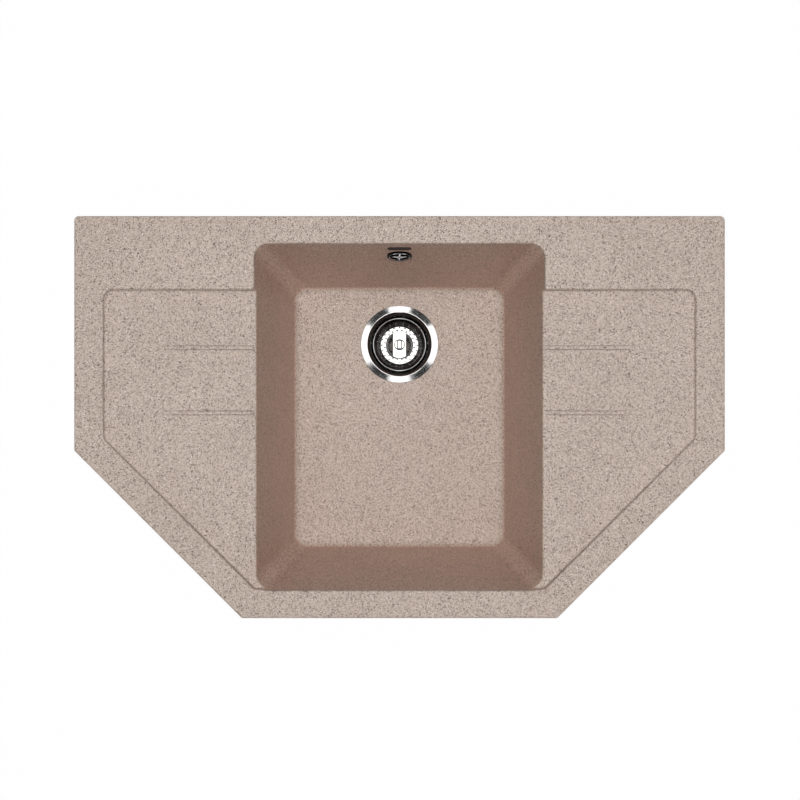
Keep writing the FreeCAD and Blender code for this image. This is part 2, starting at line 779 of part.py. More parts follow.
def make_waste_body():
    top, bell, funnel, end = body_heights()
    outer_bell = body_bell_radius + body_wall
    points = [(body_bell_radius, top), (body_flange_radius, top),
              (body_flange_radius, top - body_flange_thickness),
              (outer_bell, top - body_flange_thickness), (outer_bell, bell),
              (outlet_collar_radius, funnel), (outlet_collar_radius, funnel - outlet_collar_height)]
    root = outlet_radius - outlet_thread_depth
    z = funnel - outlet_collar_height - outlet_relief
    points.append((root, z))
    while z - outlet_thread_pitch > end + outlet_plain_end:
        points.append((root, z - outlet_thread_pitch * 0.2))
        points.append((outlet_radius, z - outlet_thread_pitch * 0.4))
        points.append((outlet_radius, z - outlet_thread_pitch * 0.8))
        points.append((root, z - outlet_thread_pitch))
        z -= outlet_thread_pitch
    points.append((root, end + outlet_end_chamfer))
    points.append((root - outlet_end_chamfer, end))
    points.append((outlet_bore_radius, end))
    points.append((outlet_bore_radius, funnel))
    points.append((body_bell_radius, bell))
    body = revolved(points, drain)

    inlet_z = floor_z - inlet_drop
    neck = Part.makeCylinder(spout_radius, inlet_reach - body_bell_radius - LAP,
                             vec(0, drain_y + body_bell_radius + LAP, inlet_z), vec(0, 1, 0))
    body = body.fuse(neck)
    bore = Part.makeCylinder(spout_bore_radius, inlet_reach,
                             vec(0, drain_y + body_bell_radius - OVER / 4, inlet_z), vec(0, 1, 0))
    body = body.cut(bore)

    hub_top = body_hub_top_z()
    hub = Part.makeCylinder(body_hub_radius, body_hub_height, vec(0, drain_y, hub_top - body_hub_height))
    webs = []
    for index in range(3):
        web = Part.makeBox(body_bell_radius + LAP, body_web_thickness, body_web_height,
                           vec(0, -body_web_thickness / 2, 0))
        web.rotate(vec(0, 0), vec(0, 0, 1), 30 + 120 * index)
        web.translate(vec(0, drain_y, hub_top - body_hub_height + body_web_rise))
        webs.append(web)
    inside = revolved([(0, bell + LAP), (body_bell_radius + LAP, bell + LAP), (body_bell_radius + LAP, bell),
                       (outlet_bore_radius + LAP, funnel), (outlet_bore_radius + LAP, end + OVER / 2),
                       (0, end + OVER / 2)], drain)
    spider = hub.fuse(webs).common(inside)
    body = body.fuse(spider)
    return body.cut(Part.makeCylinder(bolt_insert_radius, bolt_insert_length,
                                      vec(0, drain_y, hub_top - bolt_insert_length)))


def make_centre_bolt():
    seat = cup_hub_z()
    shank = threaded_rod(bolt_radius, bolt_length, bolt_thread_pitch, stud_thread_depth, stud_end_chamfer)
    shank.translate(vec(0, 0, seat - bolt_length))
    head = revolved([(0, seat), (bolt_head_radius, seat), (bolt_head_radius, seat + bolt_head_height * 0.4),
                     (bolt_head_radius * 0.62, seat + bolt_head_height * 0.88, 0, seat + bolt_head_height)])
    bolt = shank.fuse(head)
    slot = Part.makeBox(bolt_head_radius * 2 + 2, bolt_slot_width, bolt_slot_depth + LAP,
                        vec(-bolt_head_radius - 1, -bolt_slot_width / 2,
                            seat + bolt_head_height - bolt_slot_depth))
    bolt = bolt.cut(slot)
    bolt.translate(drain)
    return bolt


def threaded_insert(radius, length, hole_radius):
    """Brass insert along +Z from 0, with two knurl belts parted by a groove."""
    bevel = insert_bevel
    waist = radius - insert_groove
    points = [(hole_radius, 0), (radius - bevel, 0), (radius, bevel), (radius, length * 0.42),
              (waist, length * 0.46), (waist, length * 0.54), (radius, length * 0.58),
              (radius, length - bevel), (radius - bevel, length), (hole_radius, length)]
    return revolved(points)


# ---- basket ----
def basket_dome_z(r, inward=0.0):
    """Height of the basket dome, a part of a ball, at radius r; inward goes into the sheet."""
    cap_r = basket_dome_radius - basket_dome_edge
    cap_h = basket_plateau_depth - basket_dome_depth - basket_dome_foot
    ball = (cap_r ** 2 + cap_h ** 2) / (2.0 * cap_h)
    return floor_z - basket_dome_depth - ball + math.sqrt((ball - inward) ** 2 - r ** 2)


def make_basket():
    rim_z = floor_z - basket_rim_depth
    plateau = floor_z - basket_plateau_depth
    sheet = basket_sheet
    foot = basket_cone_foot
    dip = basket_bend_dip
    bend_in = foot - basket_bend
    dome_edge = basket_dome_radius - basket_dome_edge
    dome_mid = dome_edge * 0.6
    dome_foot = basket_dome_radius + basket_dome_foot
    under_edge = dome_edge - sheet * 0.8
    under = plateau - sheet
    curl_top = rim_z - basket_rim_lip
    points = [(0, basket_dome_z(0)), (dome_mid, basket_dome_z(dome_mid), dome_edge, basket_dome_z(dome_edge)),
              (basket_dome_radius + dip, plateau + dip, dome_foot, plateau),
              (bend_in, plateau),
              (foot - dip, plateau + dip, foot, plateau + basket_bend),
              (basket_cone_top, rim_z - 2.0 * basket_rim_roll),
              (basket_cone_top, rim_z - basket_rim_roll),
              (basket_rim_radius, rim_z, basket_rim_radius + basket_rim_lip, curl_top),
              (basket_rim_radius + basket_rim_lip, rim_z - 0.8 * basket_rim_curl,
               basket_rim_radius, rim_z - basket_rim_curl),
              (foot + sheet, plateau + basket_bend - dip),
              (foot + dip, under + dip, bend_in, under),
              (dome_foot, under),
              (basket_dome_radius - dip, under + dip, under_edge, basket_dome_z(under_edge, sheet)),
              (dome_mid, basket_dome_z(dome_mid, sheet), 0, basket_dome_z(0, sheet))]
    basket = revolved(points, drain)
    holes = []
    for ring_radius, offset in basket_hole_rings:
        for index in range(basket_hole_count):
            angle = math.radians(90 + offset + 360.0 * index / basket_hole_count)
            holes.append(Part.makeCylinder(basket_hole_radius, 2 * OVER,
                                           vec(ring_radius * math.cos(angle),
                                               drain_y + ring_radius * math.sin(angle), plateau - OVER / 2)))
    stem_hole = Part.makeCylinder(stem_radius + stem_clearance, 2 * OVER, vec(0, drain_y, plateau - OVER / 2))
    return basket.cut(holes + [stem_hole])


def make_basket_knob():
    base = floor_z - basket_dome_depth
    neck = base + knob_neck_height
    top = neck + knob_height
    edge = knob_edge_rounding
    edge_mid = edge * (1.0 - root_half)
    points = [(0, base), (knob_neck_radius, base), (knob_neck_radius, neck),
              (knob_radius, neck + knob_bar_rounding), (knob_radius, top - edge),
              (knob_radius - edge_mid, top - edge_mid, knob_radius - edge, top), (0, top)]
    knob = revolved(points)
    half_w = knob_bar_width / 2
    half_l = knob_bar_length / 2
    corners = [(-half_w, -half_l), (half_w, -half_l), (half_w, half_l), (-half_w, half_l)]
    bar = prism(rounded_wire(corners, [half_w - 0.1] * 4, top - LAP), knob_bar_height + LAP)
    bar = bar.makeFillet(knob_bar_rounding, edges_at_height(bar, top + knob_bar_height))
    knob = knob.fuse(bar)
    knob = knob.cut(Part.makeCylinder(stem_radius + thread_clearance, stem_top_z() - base, vec(0, 0, base)))
    knob.translate(drain)
    return knob


def stem_top_z():
    return floor_z - basket_dome_depth + knob_neck_height + knob_height - knob_roof


def seal_z():
    """Underside of the basket seal, resting on the bottom of the strainer cup."""
    return floor_z - cup_depth


def seal_pocket_z():
    """Roof of the shallow pocket under the seal, where the washer lies."""
    return seal_z() + stem_washer_thickness + seal_pocket_gap


def make_basket_stem():
    """Stem with a thick middle between the seal below and the basket dome above."""
    bottom = seal_pocket_z() - stem_washer_thickness - stem_nut_height - stem_end
    collar_top = basket_dome_z(stem_collar_radius, basket_sheet)
    seal_top = seal_z() + seal_thickness
    bevel = stem_bevel
    points = [(0, bottom), (stem_radius - bevel, bottom), (stem_radius, bottom + bevel),
              (stem_radius, seal_top), (stem_collar_radius, seal_top), (stem_collar_radius, collar_top),
              (stem_radius, collar_top), (stem_radius, stem_top_z()), (0, stem_top_z())]
    return revolved(points, drain)


def make_basket_seal():
    base = seal_z()
    roof = seal_pocket_z()
    hole = stem_radius + stem_clearance
    pocket = stem_washer_radius + 2 * seal_pocket_gap
    clear = base + seal_relief
    foot = seal_radius - seal_foot_width
    points = [(hole, roof), (pocket, roof), (pocket, clear), (foot - seal_foot_slope, clear),
              (foot, base), (seal_radius, base), (seal_radius, base + seal_lip),
              (seal_radius - seal_shoulder, base + seal_thickness), (hole, base + seal_thickness)]
    return revolved(points, drain)


def make_stem_washer():
    return ring_at_drain(stem_washer_radius, stem_radius + stem_clearance, stem_washer_thickness,
                         seal_pocket_z() - stem_washer_thickness)


def make_stem_nut():
    bottom = seal_pocket_z() - stem_washer_thickness - stem_nut_height
    nut = hexagon(stem_nut_flats, stem_nut_height, bottom)
    nut = nut.cut(Part.makeCylinder(stem_radius + thread_clearance, OVER, vec(0, 0, bottom - LAP)))
    nut.translate(drain)
    return nut


# ---- overflow ----
def make_rosette():
    """Ring with a cross of two bars, one of them slightly tilted, and a spigot."""
    top = rosette_thickness
    edge = rosette_edge_rounding
    edge_mid = edge * (1.0 - root_half)
    inner = rosette_radius - rosette_ring_width
    ring = revolved([(inner, 0), (rosette_radius, 0), (rosette_radius, top - edge),
                     (rosette_radius - edge_mid, top - edge_mid, rosette_radius - edge, top),
                     (inner + rosette_bar_rounding, top), (inner, top - rosette_bar_rounding)])
    spigot = tube(rosette_spigot_radius, rosette_spigot_radius - rosette_spigot_wall,
                  rosette_spigot_length + rosette_bar_drop, -rosette_spigot_length)
    hub = Part.makeCylinder(rosette_hub_radius, top, vec(0, 0, 0))
    bars = []
    reach = inner + rosette_bar_drop
    bar_top = top - rosette_bar_drop
    for angle in (0.0, 90.0 - rosette_bar_tilt):
        bar = Part.makeBox(2 * reach, rosette_bar_width, bar_top, vec(-reach, -rosette_bar_width / 2, 0))
        bar = bar.makeFillet(rosette_bar_rounding,
                             edges_at_height(bar, bar_top, lambda edge: edge.Length > reach))
        bar.rotate(vec(0, 0), vec(0, 0, 1), angle)
        bars.append(bar)
    rosette = ring.fuse([spigot, hub] + bars)
    gap = screw_hole_gap
    head_seat = Part.makeCone(screw_radius + gap, screw_head_radius + gap, screw_head_height,
                              vec(0, 0, top - screw_head_height))
    hole = Part.makeCylinder(screw_radius + gap, 2 * OVER, vec(0, 0, -OVER))
    return on_back_wall(rosette.cut([head_seat, hole]), overflow_depth)


def make_overflow_screw():
    head_z = rosette_thickness - screw_head_height
    shank = threaded_rod(screw_radius, screw_length, screw_thread_pitch, stud_thread_depth, stud_end_chamfer)
    shank.translate(vec(0, 0, head_z - screw_length + stud_end_chamfer))
    head = Part.makeCone(screw_radius, screw_head_radius, screw_head_height, vec(0, 0, head_z))
    screw = shank.fuse(head)
    for angle in (20.0, 110.0):
        slot = Part.makeBox(screw_cross_length, screw_cross_width, screw_cross_depth,
                            vec(-screw_cross_length / 2, -screw_cross_width / 2,
                                rosette_thickness - screw_cross_depth))
        slot.rotate(vec(0, 0), vec(0, 0, 1), angle)
        screw = screw.cut(slot)
    return on_back_wall(screw, overflow_depth)


def overflow_outer_face():
    """Outside of the back wall, along the axis of the overflow hole."""
    return -wall_thickness * lean_cos


def make_overflow_gasket():
    face = overflow_outer_face()
    gasket = tube(elbow_flange_radius - overflow_gasket_inset, overflow_gasket_inner,
                  overflow_gasket_thickness, face - overflow_gasket_thickness)
    return on_back_wall(gasket, overflow_depth)


def make_overflow_elbow():
    face = overflow_outer_face() - overflow_gasket_thickness
    back = face - elbow_chamber_depth
    flange = Part.makeCylinder(elbow_flange_radius, elbow_flange_thickness,
                               vec(0, 0, face - elbow_flange_thickness))
    chamber = Part.makeCylinder(elbow_chamber_radius, elbow_chamber_depth, vec(0, 0, back))
    chamber = chamber.makeFillet(elbow_back_rounding, edges_at_height(chamber, back))
    flange = on_back_wall(flange.fuse(chamber), overflow_depth)
    outlet_top_z = rim_top_z - overflow_depth - elbow_chamber_radius / 2
    outlet = Part.makeCylinder(spout_radius, outlet_top_z - elbow_outlet_end_z,
                               vec(0, elbow_outlet_y, elbow_outlet_end_z))
    # nothing behind the outlet tube, so the elbow passes through the cut-out
    back_limit = Part.makeBox(TALL, TALL, TALL, vec(-TALL / 2, elbow_outlet_y + spout_radius, -TALL / 2))
    elbow = flange.fuse(outlet).cut(back_limit)

    cavity = Part.makeCylinder(elbow_chamber_radius - elbow_wall, elbow_chamber_depth - elbow_wall + LAP,
                               vec(0, 0, back + elbow_wall))
    bore = Part.makeCylinder(spout_bore_radius, outlet_top_z - elbow_outlet_end_z + LAP,
                             vec(0, elbow_outlet_y, elbow_outlet_end_z - LAP))
    hub = Part.makeCylinder(elbow_hub_radius, elbow_chamber_depth - elbow_hub_depth, vec(0, 0, back))
    hub = on_back_wall(hub, overflow_depth)
    elbow = elbow.cut([on_back_wall(cavity, overflow_depth), bore])
    elbow = elbow.fuse(hub.cut(back_limit))
    pocket = Part.makeCylinder(elbow_insert_radius, elbow_insert_length,
                               vec(0, 0, face - elbow_insert_depth - elbow_insert_length))
    return elbow.cut(on_back_wall(pocket, overflow_depth))


def make_elbow_insert():
    face = overflow_outer_face() - overflow_gasket_thickness
    insert = threaded_insert(elbow_insert_radius, elbow_insert_length, screw_radius + thread_clearance)
    insert.translate(vec(0, 0, face - elbow_insert_depth - elbow_insert_length))
    return on_back_wall(insert, overflow_depth)


def make_overflow_pipe():
    inlet_z = floor_z - inlet_drop
    top = elbow_outlet_end_z - pipe_clearance
    end_y = drain_y + inlet_reach + pipe_clearance
    bend = pipe_bend_radius
    start = vec(0, elbow_outlet_y, top)
    bend_top = vec(0, elbow_outlet_y, inlet_z + bend)
    bend_mid = vec(0, elbow_outlet_y - bend * (1 - root_half), inlet_z + bend * (1 - root_half))
    bend_end = vec(0, elbow_outlet_y - bend, inlet_z)
    finish = vec(0, end_y, inlet_z)
    path = Part.Wire([Part.makeLine(start, bend_top), Part.Arc(bend_top, bend_mid, bend_end).toShape(),
                      Part.makeLine(bend_end, finish)])
    outside = Part.Wire([Part.makeCircle(pipe_radius, start, vec(0, 0, -1))])
    outer = path.makePipeShell([outside], True, True)
    inside = Part.Wire([Part.makeCircle(pipe_bore_radius, start, vec(0, 0, -1))])
    inner = path.makePipeShell([inside], True, True)
    return outer.cut(inner)


def union_nut():
    """Nut along -Z from 0: its head laps a spout, its foot closes in around the pipe."""
    body = Part.makeCylinder(union_nut_radius, union_nut_length, vec(0, 0, -union_nut_length))
    body = body.makeFillet(union_nut_rounding, edges_at_height(body, -union_nut_length))
    flutes = []
    reach = union_nut_radius + union_nut_flute_radius - union_nut_flute_depth
    for index in range(union_nut_flutes):
        angle = math.radians(360.0 * index / union_nut_flutes)
        flutes.append(Part.makeCylinder(union_nut_flute_radius, union_nut_length * 0.7,
                                        vec(reach * math.cos(angle), reach * math.sin(angle),
                                            -union_nut_length * 0.8)))
    body = body.cut(flutes)
    wide = Part.makeCylinder(spout_radius + union_thread_clearance, union_nut_length,
                             vec(0, 0, -union_nut_length + union_nut_shoulder))
    hole = Part.makeCylinder(pipe_radius + pipe_clearance, union_nut_length + 2 * LAP,
                             vec(0, 0, -union_nut_length - LAP))
    return body.cut([wide, hole])


def union_seal():
    """Ring around the pipe between the end of a spout and the shoulder of its nut, along -Z from 0."""
    length = union_nut_length - union_nut_lap - union_nut_shoulder
    return tube(spout_radius + union_seal_gap, pipe_radius + union_seal_gap, length, -length)


# ---- clamps ----
def local_to_clamp(shape, x, y, angle):
    placed = shape.copy()
    placed.rotate(vec(0, 0), vec(0, 0, 1), angle)
    placed.translate(vec(x, y, 0))
    return placed


def clamp_arm():
    """Pressed steel arm reaching along +X: a stepped strip with an upturned toothed end."""
    half = arm_width / 2
    low = arm_rest_z
    high = low + arm_step
    t = arm_thickness
    foot_x = arm_reach * arm_bend_start
    rise_x = arm_reach * arm_bend_end
    section = [vec(-arm_tail, -half, low), vec(foot_x, -half, low), vec(rise_x, -half, high),
               vec(arm_reach, -half, high), vec(arm_reach, -half, high + t + arm_tooth_height),
               vec(arm_reach - t, -half, high + t + arm_tooth_height), vec(arm_reach - t, -half, high + t),
               vec(rise_x - t / 2, -half, high + t), vec(foot_x - t / 2, -half, low + t),
               vec(-arm_tail, -half, low + t), vec(-arm_tail, -half, low)]
    arm = Part.Face(Part.makePolygon(section)).extrude(vec(0, arm_width, 0))
    tail_edges = []
    for edge in arm.Edges:
        box = edge.BoundBox
        if box.XLength < EPS and box.YLength < EPS and abs(box.XMin + arm_tail) < EPS:
            tail_edges.append(edge)
    arm = arm.makeFillet(half * arm_tail_roundness, tail_edges)
    # three teeth stand across the end, with two gaps of the same width
    tooth_width = arm_width / 5
    cuts = []
    for index in (1, 3):
        cuts.append(Part.makeBox(t + 2 * LAP, tooth_width, arm_tooth_height + LAP,
                                 vec(arm_reach - t - LAP, -half + index * tooth_width, high + t)))
    cuts.append(Part.makeCylinder(stud_radius + arm_hole_clearance, OVER, vec(0, 0, low - OVER / 2)))
    return arm.cut(cuts)


def clamp_nut():
    top = arm_rest_z - arm_seat_gap
    collar = Part.makeCylinder(nut_collar_radius, nut_collar_height, vec(0, 0, top - nut_collar_height))
    hexa = hexagon(nut_flats, nut_height, top - nut_collar_height - nut_height)
    nut = collar.fuse(hexa)
    return nut.cut(Part.makeCylinder(stud_radius + stud_fit_clearance, 2 * OVER, vec(0, 0, top - OVER)))


def clamp_insert():
    bottom = boss_bottom_z
    hole = stud_radius + thread_clearance
    insert = threaded_insert(insert_radius, insert_length - insert_flange_height, hole)
    insert.translate(vec(0, 0, bottom + insert_flange_height))
    flange = tube(insert_flange_radius, hole, insert_flange_height, bottom)
    return insert.fuse(flange)


# ---- build every piece ----
keep("sink_body", soften_edges(make_sink_body()))

tape = prism(sink_wire(tape_inset + tape_clearance, 0.0), tape_thickness)
tape = tape.cut(prism(sink_wire(tape_inset + tape_width - tape_clearance, -LAP), tape_thickness + 2 * LAP))
keep("seal_tape", tape)

keep("blank_plate", on_back_wall(blank_plate_shape(0.0, plate_thickness, -plate_pocket_depth), plate_depth))

keep("strainer_cup", make_strainer_cup())
keep("flange_gasket", ring_at_drain(flange_gasket_outer, flange_gasket_inner, flange_gasket_thickness,
                                    floor_z - drain_seat_depth))
keep("body_gasket", ring_at_drain(body_flange_radius, body_gasket_inner, body_gasket_thickness,
                                  floor_under_z - body_gasket_thickness))
keep("waste_body", make_waste_body())
keep("centre_bolt", make_centre_bolt())
bolt_insert = threaded_insert(bolt_insert_radius, bolt_insert_length, bolt_radius + thread_clearance)
bolt_insert.translate(vec(0, drain_y, body_hub_top_z() - bolt_insert_length))
keep("bolt_insert", bolt_insert)

keep("basket", make_basket())
keep("basket_knob", make_basket_knob())
keep("basket_stem", make_basket_stem())
keep("basket_seal", make_basket_seal())
keep("stem_washer", make_stem_washer())
keep("stem_nut", make_stem_nut())

keep("overflow_rosette", make_rosette())
keep("overflow_screw", make_overflow_screw())
keep("overflow_gasket", make_overflow_gasket())
keep("overflow_elbow", make_overflow_elbow())
keep("overflow_elbow_insert", make_elbow_insert())
keep("overflow_pipe", make_overflow_pipe())

# the upper union hangs below the elbow, the lower one lies along the waste inlet
upper_mouth = vec(0, elbow_outlet_y, elbow_outlet_end_z)
lower_mouth = vec(0, drain_y + inlet_reach, floor_z - inlet_drop)
for name, mouth, turn in (("upper", upper_mouth, 0), ("lower", lower_mouth, 90)):
    nut = union_nut()
    nut.translate(vec(0, 0, union_nut_lap))
    ring = union_seal()
    for shape in (nut, ring):
        shape.rotate(vec(0, 0), vec(1, 0, 0), turn)
        shape.translate(mouth)
    keep(name + "_union_nut", nut)
    keep(name + "_union_seal", ring)

clamp_inserts = []
clamp_studs = []
stud = threaded_rod(stud_radius, stud_length, stud_thread_pitch, stud_thread_depth, stud_end_chamfer)
stud.translate(vec(0, 0, boss_bottom_z + insert_length - stud_end_gap - stud_length))
for number, (x, y, angle) in enumerate(clamp_places(), 1):
    clamp_inserts.append(local_to_clamp(clamp_insert(), x, y, angle))
    clamp_studs.append(local_to_clamp(stud, x, y, angle))
    # at rest every arm lies along the edge of the cut-out, clear of the worktop, mirrored left and right
    rest_turn = -90.0 if x > 0 else 90.0
    keep("clamp_arm_%d" % number, local_to_clamp(clamp_arm(), x, y, angle + rest_turn))
    keep("clamp_nut_%d" % number, local_to_clamp(clamp_nut(), x, y, angle))
keep_group("clamp_inserts", clamp_inserts)
keep_group("clamp_studs", clamp_studs)

for name, shape in parts.items():
    shape.exportStep("parts/" + name + ".step")
    box = shape.BoundBox
    print("%-22s vol %10.0f  x %.1f..%.1f  y %.1f..%.1f  z %.1f..%.1f" % (
        name, shape.Volume, box.XMin, box.XMax, box.YMin, box.YMax, box.ZMin, box.ZMax))
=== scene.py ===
# %% [markdown]
# # A corner kitchen sink in stone composite
# The imported solids are the frame of this scene: every piece that fits, seals or moves is
# already there at its real size. This lesson dresses them. It sets up a camera and a
# studio, writes the finishes as nodes and lets Geometry Nodes make what repeats.
# All lengths are metres; +Z is up and +Y points to the back edge.

import json
import math

import bpy
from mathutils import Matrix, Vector


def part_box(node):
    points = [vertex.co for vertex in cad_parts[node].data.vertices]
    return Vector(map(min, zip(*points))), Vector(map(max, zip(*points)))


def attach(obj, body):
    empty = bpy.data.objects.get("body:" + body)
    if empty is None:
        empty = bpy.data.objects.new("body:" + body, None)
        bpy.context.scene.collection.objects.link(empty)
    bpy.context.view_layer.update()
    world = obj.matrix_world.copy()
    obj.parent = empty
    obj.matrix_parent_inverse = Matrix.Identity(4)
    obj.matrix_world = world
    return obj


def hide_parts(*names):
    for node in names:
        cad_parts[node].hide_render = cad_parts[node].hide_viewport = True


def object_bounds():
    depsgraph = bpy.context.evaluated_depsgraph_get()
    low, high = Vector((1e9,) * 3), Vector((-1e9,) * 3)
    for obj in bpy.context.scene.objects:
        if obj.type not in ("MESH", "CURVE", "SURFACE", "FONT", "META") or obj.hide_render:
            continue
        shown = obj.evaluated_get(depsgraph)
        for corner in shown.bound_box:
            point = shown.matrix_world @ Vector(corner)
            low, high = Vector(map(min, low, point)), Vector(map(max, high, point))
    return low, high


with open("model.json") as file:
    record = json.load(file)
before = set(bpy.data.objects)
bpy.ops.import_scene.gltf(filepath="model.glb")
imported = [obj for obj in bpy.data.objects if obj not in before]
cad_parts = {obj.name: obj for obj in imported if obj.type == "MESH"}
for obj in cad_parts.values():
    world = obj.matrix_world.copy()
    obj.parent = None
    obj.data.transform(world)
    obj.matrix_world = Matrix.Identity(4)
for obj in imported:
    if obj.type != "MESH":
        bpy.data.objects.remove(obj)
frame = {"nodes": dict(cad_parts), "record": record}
cad_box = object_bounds()
nodes = frame["nodes"]
print("pieces in the frame:", len(nodes), "box:", [tuple(round(v, 4) for v in c) for c in cad_box])

# %% [markdown]
# ## The places that the finishes refer to
# A pattern that circles the drain, or a thread that has to match a stud, needs to know where
# it sits. These few numbers are the same as in the solids; where a size can be measured from
# a solid it is, so that the two can't drift apart.

# %% Places on the sink
RIM_TOP = cad_box[1][2]
LOWEST = cad_box[0][2]
cup_low, cup_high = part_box("strainer_cup")
DRAIN = Vector(((cup_low.x + cup_high.x) / 2, (cup_low.y + cup_high.y) / 2, cup_high.z))
FLANGE_RADIUS = (cup_high.x - cup_low.x) / 2
print("rim top %.4f  lowest %.4f  drain (%.4f, %.4f)  flange radius %.4f" % (
    RIM_TOP, LOWEST, DRAIN.x, DRAIN.y, FLANGE_RADIUS))

# %% [markdown]
# ## Camera
# The sink is shown straight from above, with its back edge at the top of the picture. The
# camera hangs over the middle of the outline, near enough for the bowl walls to spread a
# little towards it. A camera with no rotation looks down -Z with +Y up, which is just that.
# The picture is a square; the sink sits slightly below its middle, so the lens is shifted
# rather than the camera moved, because a moved camera would show other sides of the walls.

# %% Camera
CAMERA_HEIGHT = 1.289          # above the rim top
LENS_MM = 45.83
SINK_BELOW_MIDDLE = 0.0214     # of the picture's width
SINK_LEFT_OF_MIDDLE = 0.0006

camera_data = bpy.data.cameras.new("camera")
camera_data.lens = LENS_MM
camera_data.sensor_width = 36.0
camera_data.shift_x = SINK_LEFT_OF_MIDDLE
camera_data.shift_y = SINK_BELOW_MIDDLE
camera_data.clip_end = 50.0
camera = bpy.data.objects.new("camera", camera_data)
camera.location = (0.0, 0.0, RIM_TOP + CAMERA_HEIGHT)
bpy.context.scene.collection.objects.link(camera)
bpy.context.scene.camera = camera
bpy.context.scene.view_settings.view_transform = "Standard"
print("camera at", tuple(round(v, 3) for v in camera.location), "lens", LENS_MM)

# %% [markdown]
# ## Writing nodes in code
# A node tree is a list of nodes and the links between their sockets. Writing each link out
# takes three lines, so one helper places a node, fills its inputs and links them in one
# call. An input is given as a number, a colour, or another node's output socket.

# %% Node helpers
def put(tree, kind, inputs=None, **settings):
    """A new node; inputs maps a socket's name or number to a value or to an output socket."""
    node = tree.nodes.new(kind)
    for name, value in settings.items():
        setattr(node, name, value)
    for key, value in (inputs or {}).items():
        socket = node.inputs[key]
        if isinstance(value, bpy.types.NodeSocket):
            tree.links.new(value, socket)
        else:
            socket.default_value = value
    return node


def math_node(tree, operation, *values):
    return put(tree, "ShaderNodeMath", dict(enumerate(values)), operation=operation).outputs[0]


def vector_math(tree, operation, *values):
    """A vector node; output 0 is its vector, and output "Value" its number where it has one."""
    return put(tree, "ShaderNodeVectorMath", dict(enumerate(values)), operation=operation)


def split(tree, vector):
    return put(tree, "ShaderNodeSeparateXYZ", {0: vector}).outputs


def product(tree, result, *factors):
    for factor in factors:
        result = math_node(tree, "MULTIPLY", result, factor)
    return result


def blend_colour(tree, factor, first, second, how="MIX"):
    return put(tree, "ShaderNodeMix", {0: factor, 6: first, 7: second}, data_type="RGBA",
               blend_type=how).outputs[2]


def colour_steps(tree, factor, steps, how="LINEAR"):
    """A colour ramp from a list of (position, red, green, blue)."""
    node = put(tree, "ShaderNodeValToRGB", {"Fac": factor})
    ramp = node.color_ramp
    ramp.interpolation = how
    while len(ramp.elements) < len(steps):
        ramp.elements.new(0.5)
    for element, (position, red, green, blue) in zip(ramp.elements, steps):
        element.position = position
        element.color = (red, green, blue, 1.0)
    return node.outputs["Color"]


def spread(tree, value, low, high, new_low, new_high):
    node = put(tree, "ShaderNodeMapRange", {0: value, 1: low, 2: high, 3: new_low, 4: new_high})
    return node.outputs[0]


def noise(tree, place, scale, detail, **more):
    inputs = {"Vector": place, "Scale": scale, "Detail": detail, **more}
    return put(tree, "ShaderNodeTexNoise", inputs).outputs[0]


def new_group(name, inputs, outputs):
    """An empty shader group with named sockets, with its input and output nodes."""
    group = bpy.data.node_groups.new(name, "ShaderNodeTree")
    for side, sockets in (("INPUT", inputs), ("OUTPUT", outputs)):
        for socket_name, kind, *default in sockets:
            socket = group.interface.new_socket(
                socket_name, in_out=side, socket_type="NodeSocket" + kind)
            if default:
                socket.default_value = default[0]
    return group, group.nodes.new("NodeGroupInput"), group.nodes.new("NodeGroupOutput")


def use_group(tree, group, inputs):
    return put(tree, "ShaderNodeGroup", inputs, node_tree=group)


def new_material(name, **shader_values):
    """A material with only a Principled shader, with its tree, its shader and the object place."""
    material = bpy.data.materials.new(name)
    material.use_nodes = True
    tree = material.node_tree
    shader = tree.nodes["Principled BSDF"]
    for socket, value in shader_values.items():
        shader.inputs[socket.replace("_", " ")].default_value = value
    place = tree.nodes.new("ShaderNodeTexCoord").outputs["Object"]
    return material, tree, shader, place


def surface_normal(tree):
    return tree.nodes.new("ShaderNodeNewGeometry").outputs["Normal"]


def bump_from(tree, shader, height, distance, strength=1.0):
    bump = put(tree, "ShaderNodeBump", {"Height": height, "Distance": distance, "Strength": strength})
    tree.links.new(bump.outputs[0], shader.inputs["Normal"])
    return bump


print("node helpers ready")

# %% [markdown]
# ## Stone composite
# The sink is cast from quartz sand and resin. Every sand grain keeps its own tone, so the
# stone is a mosaic of tiny facets in beige, with a few dark brown and a few cream grains.
# A noise texture would give soft clouds and an image would repeat, so the grains are Voronoi
# cells: each cell is one grain, and its random colour decides which kind it is. Two sizes of
# grain are laid over each other, as in real sand, and a slow noise shifts the tone a little
# from place to place.

# %% Stone grain group
stone_group, s_in, s_out = new_group(
    "Stone grain",
    [("Place", "Vector"), ("Grains per metre", "Float", 900.0), ("Dark share", "Float", 0.05),
     ("Light share", "Float", 0.05)],
    [("Colour", "Color"), ("Height", "Float"), ("Dark", "Float")])
FINER = 2.3                    # fine grains along the width of a coarse one
FINE_SHARE = 0.25
FINE_DARKENING = 0.35
place = s_in.outputs["Place"]
coarse = put(stone_group, "ShaderNodeTexVoronoi", {"Vector": place, "Scale": s_in.outputs[1]})
fine_scale = math_node(stone_group, "MULTIPLY", s_in.outputs[1], FINER)
fine = put(stone_group, "ShaderNodeTexVoronoi", {"Vector": place, "Scale": fine_scale})
coarse_kind = put(stone_group, "ShaderNodeSeparateColor", {0: coarse.outputs["Color"]})
fine_kind = put(stone_group, "ShaderNodeSeparateColor", {0: fine.outputs["Color"]})
SAND_TONES = [(0.0, 0.270, 0.206, 0.170), (0.30, 0.450, 0.362, 0.310), (1.0, 0.680, 0.575, 0.505)]
DARK_TONES = [(0.0, 0.008, 0.005, 0.004), (1.0, 0.090, 0.058, 0.045)]
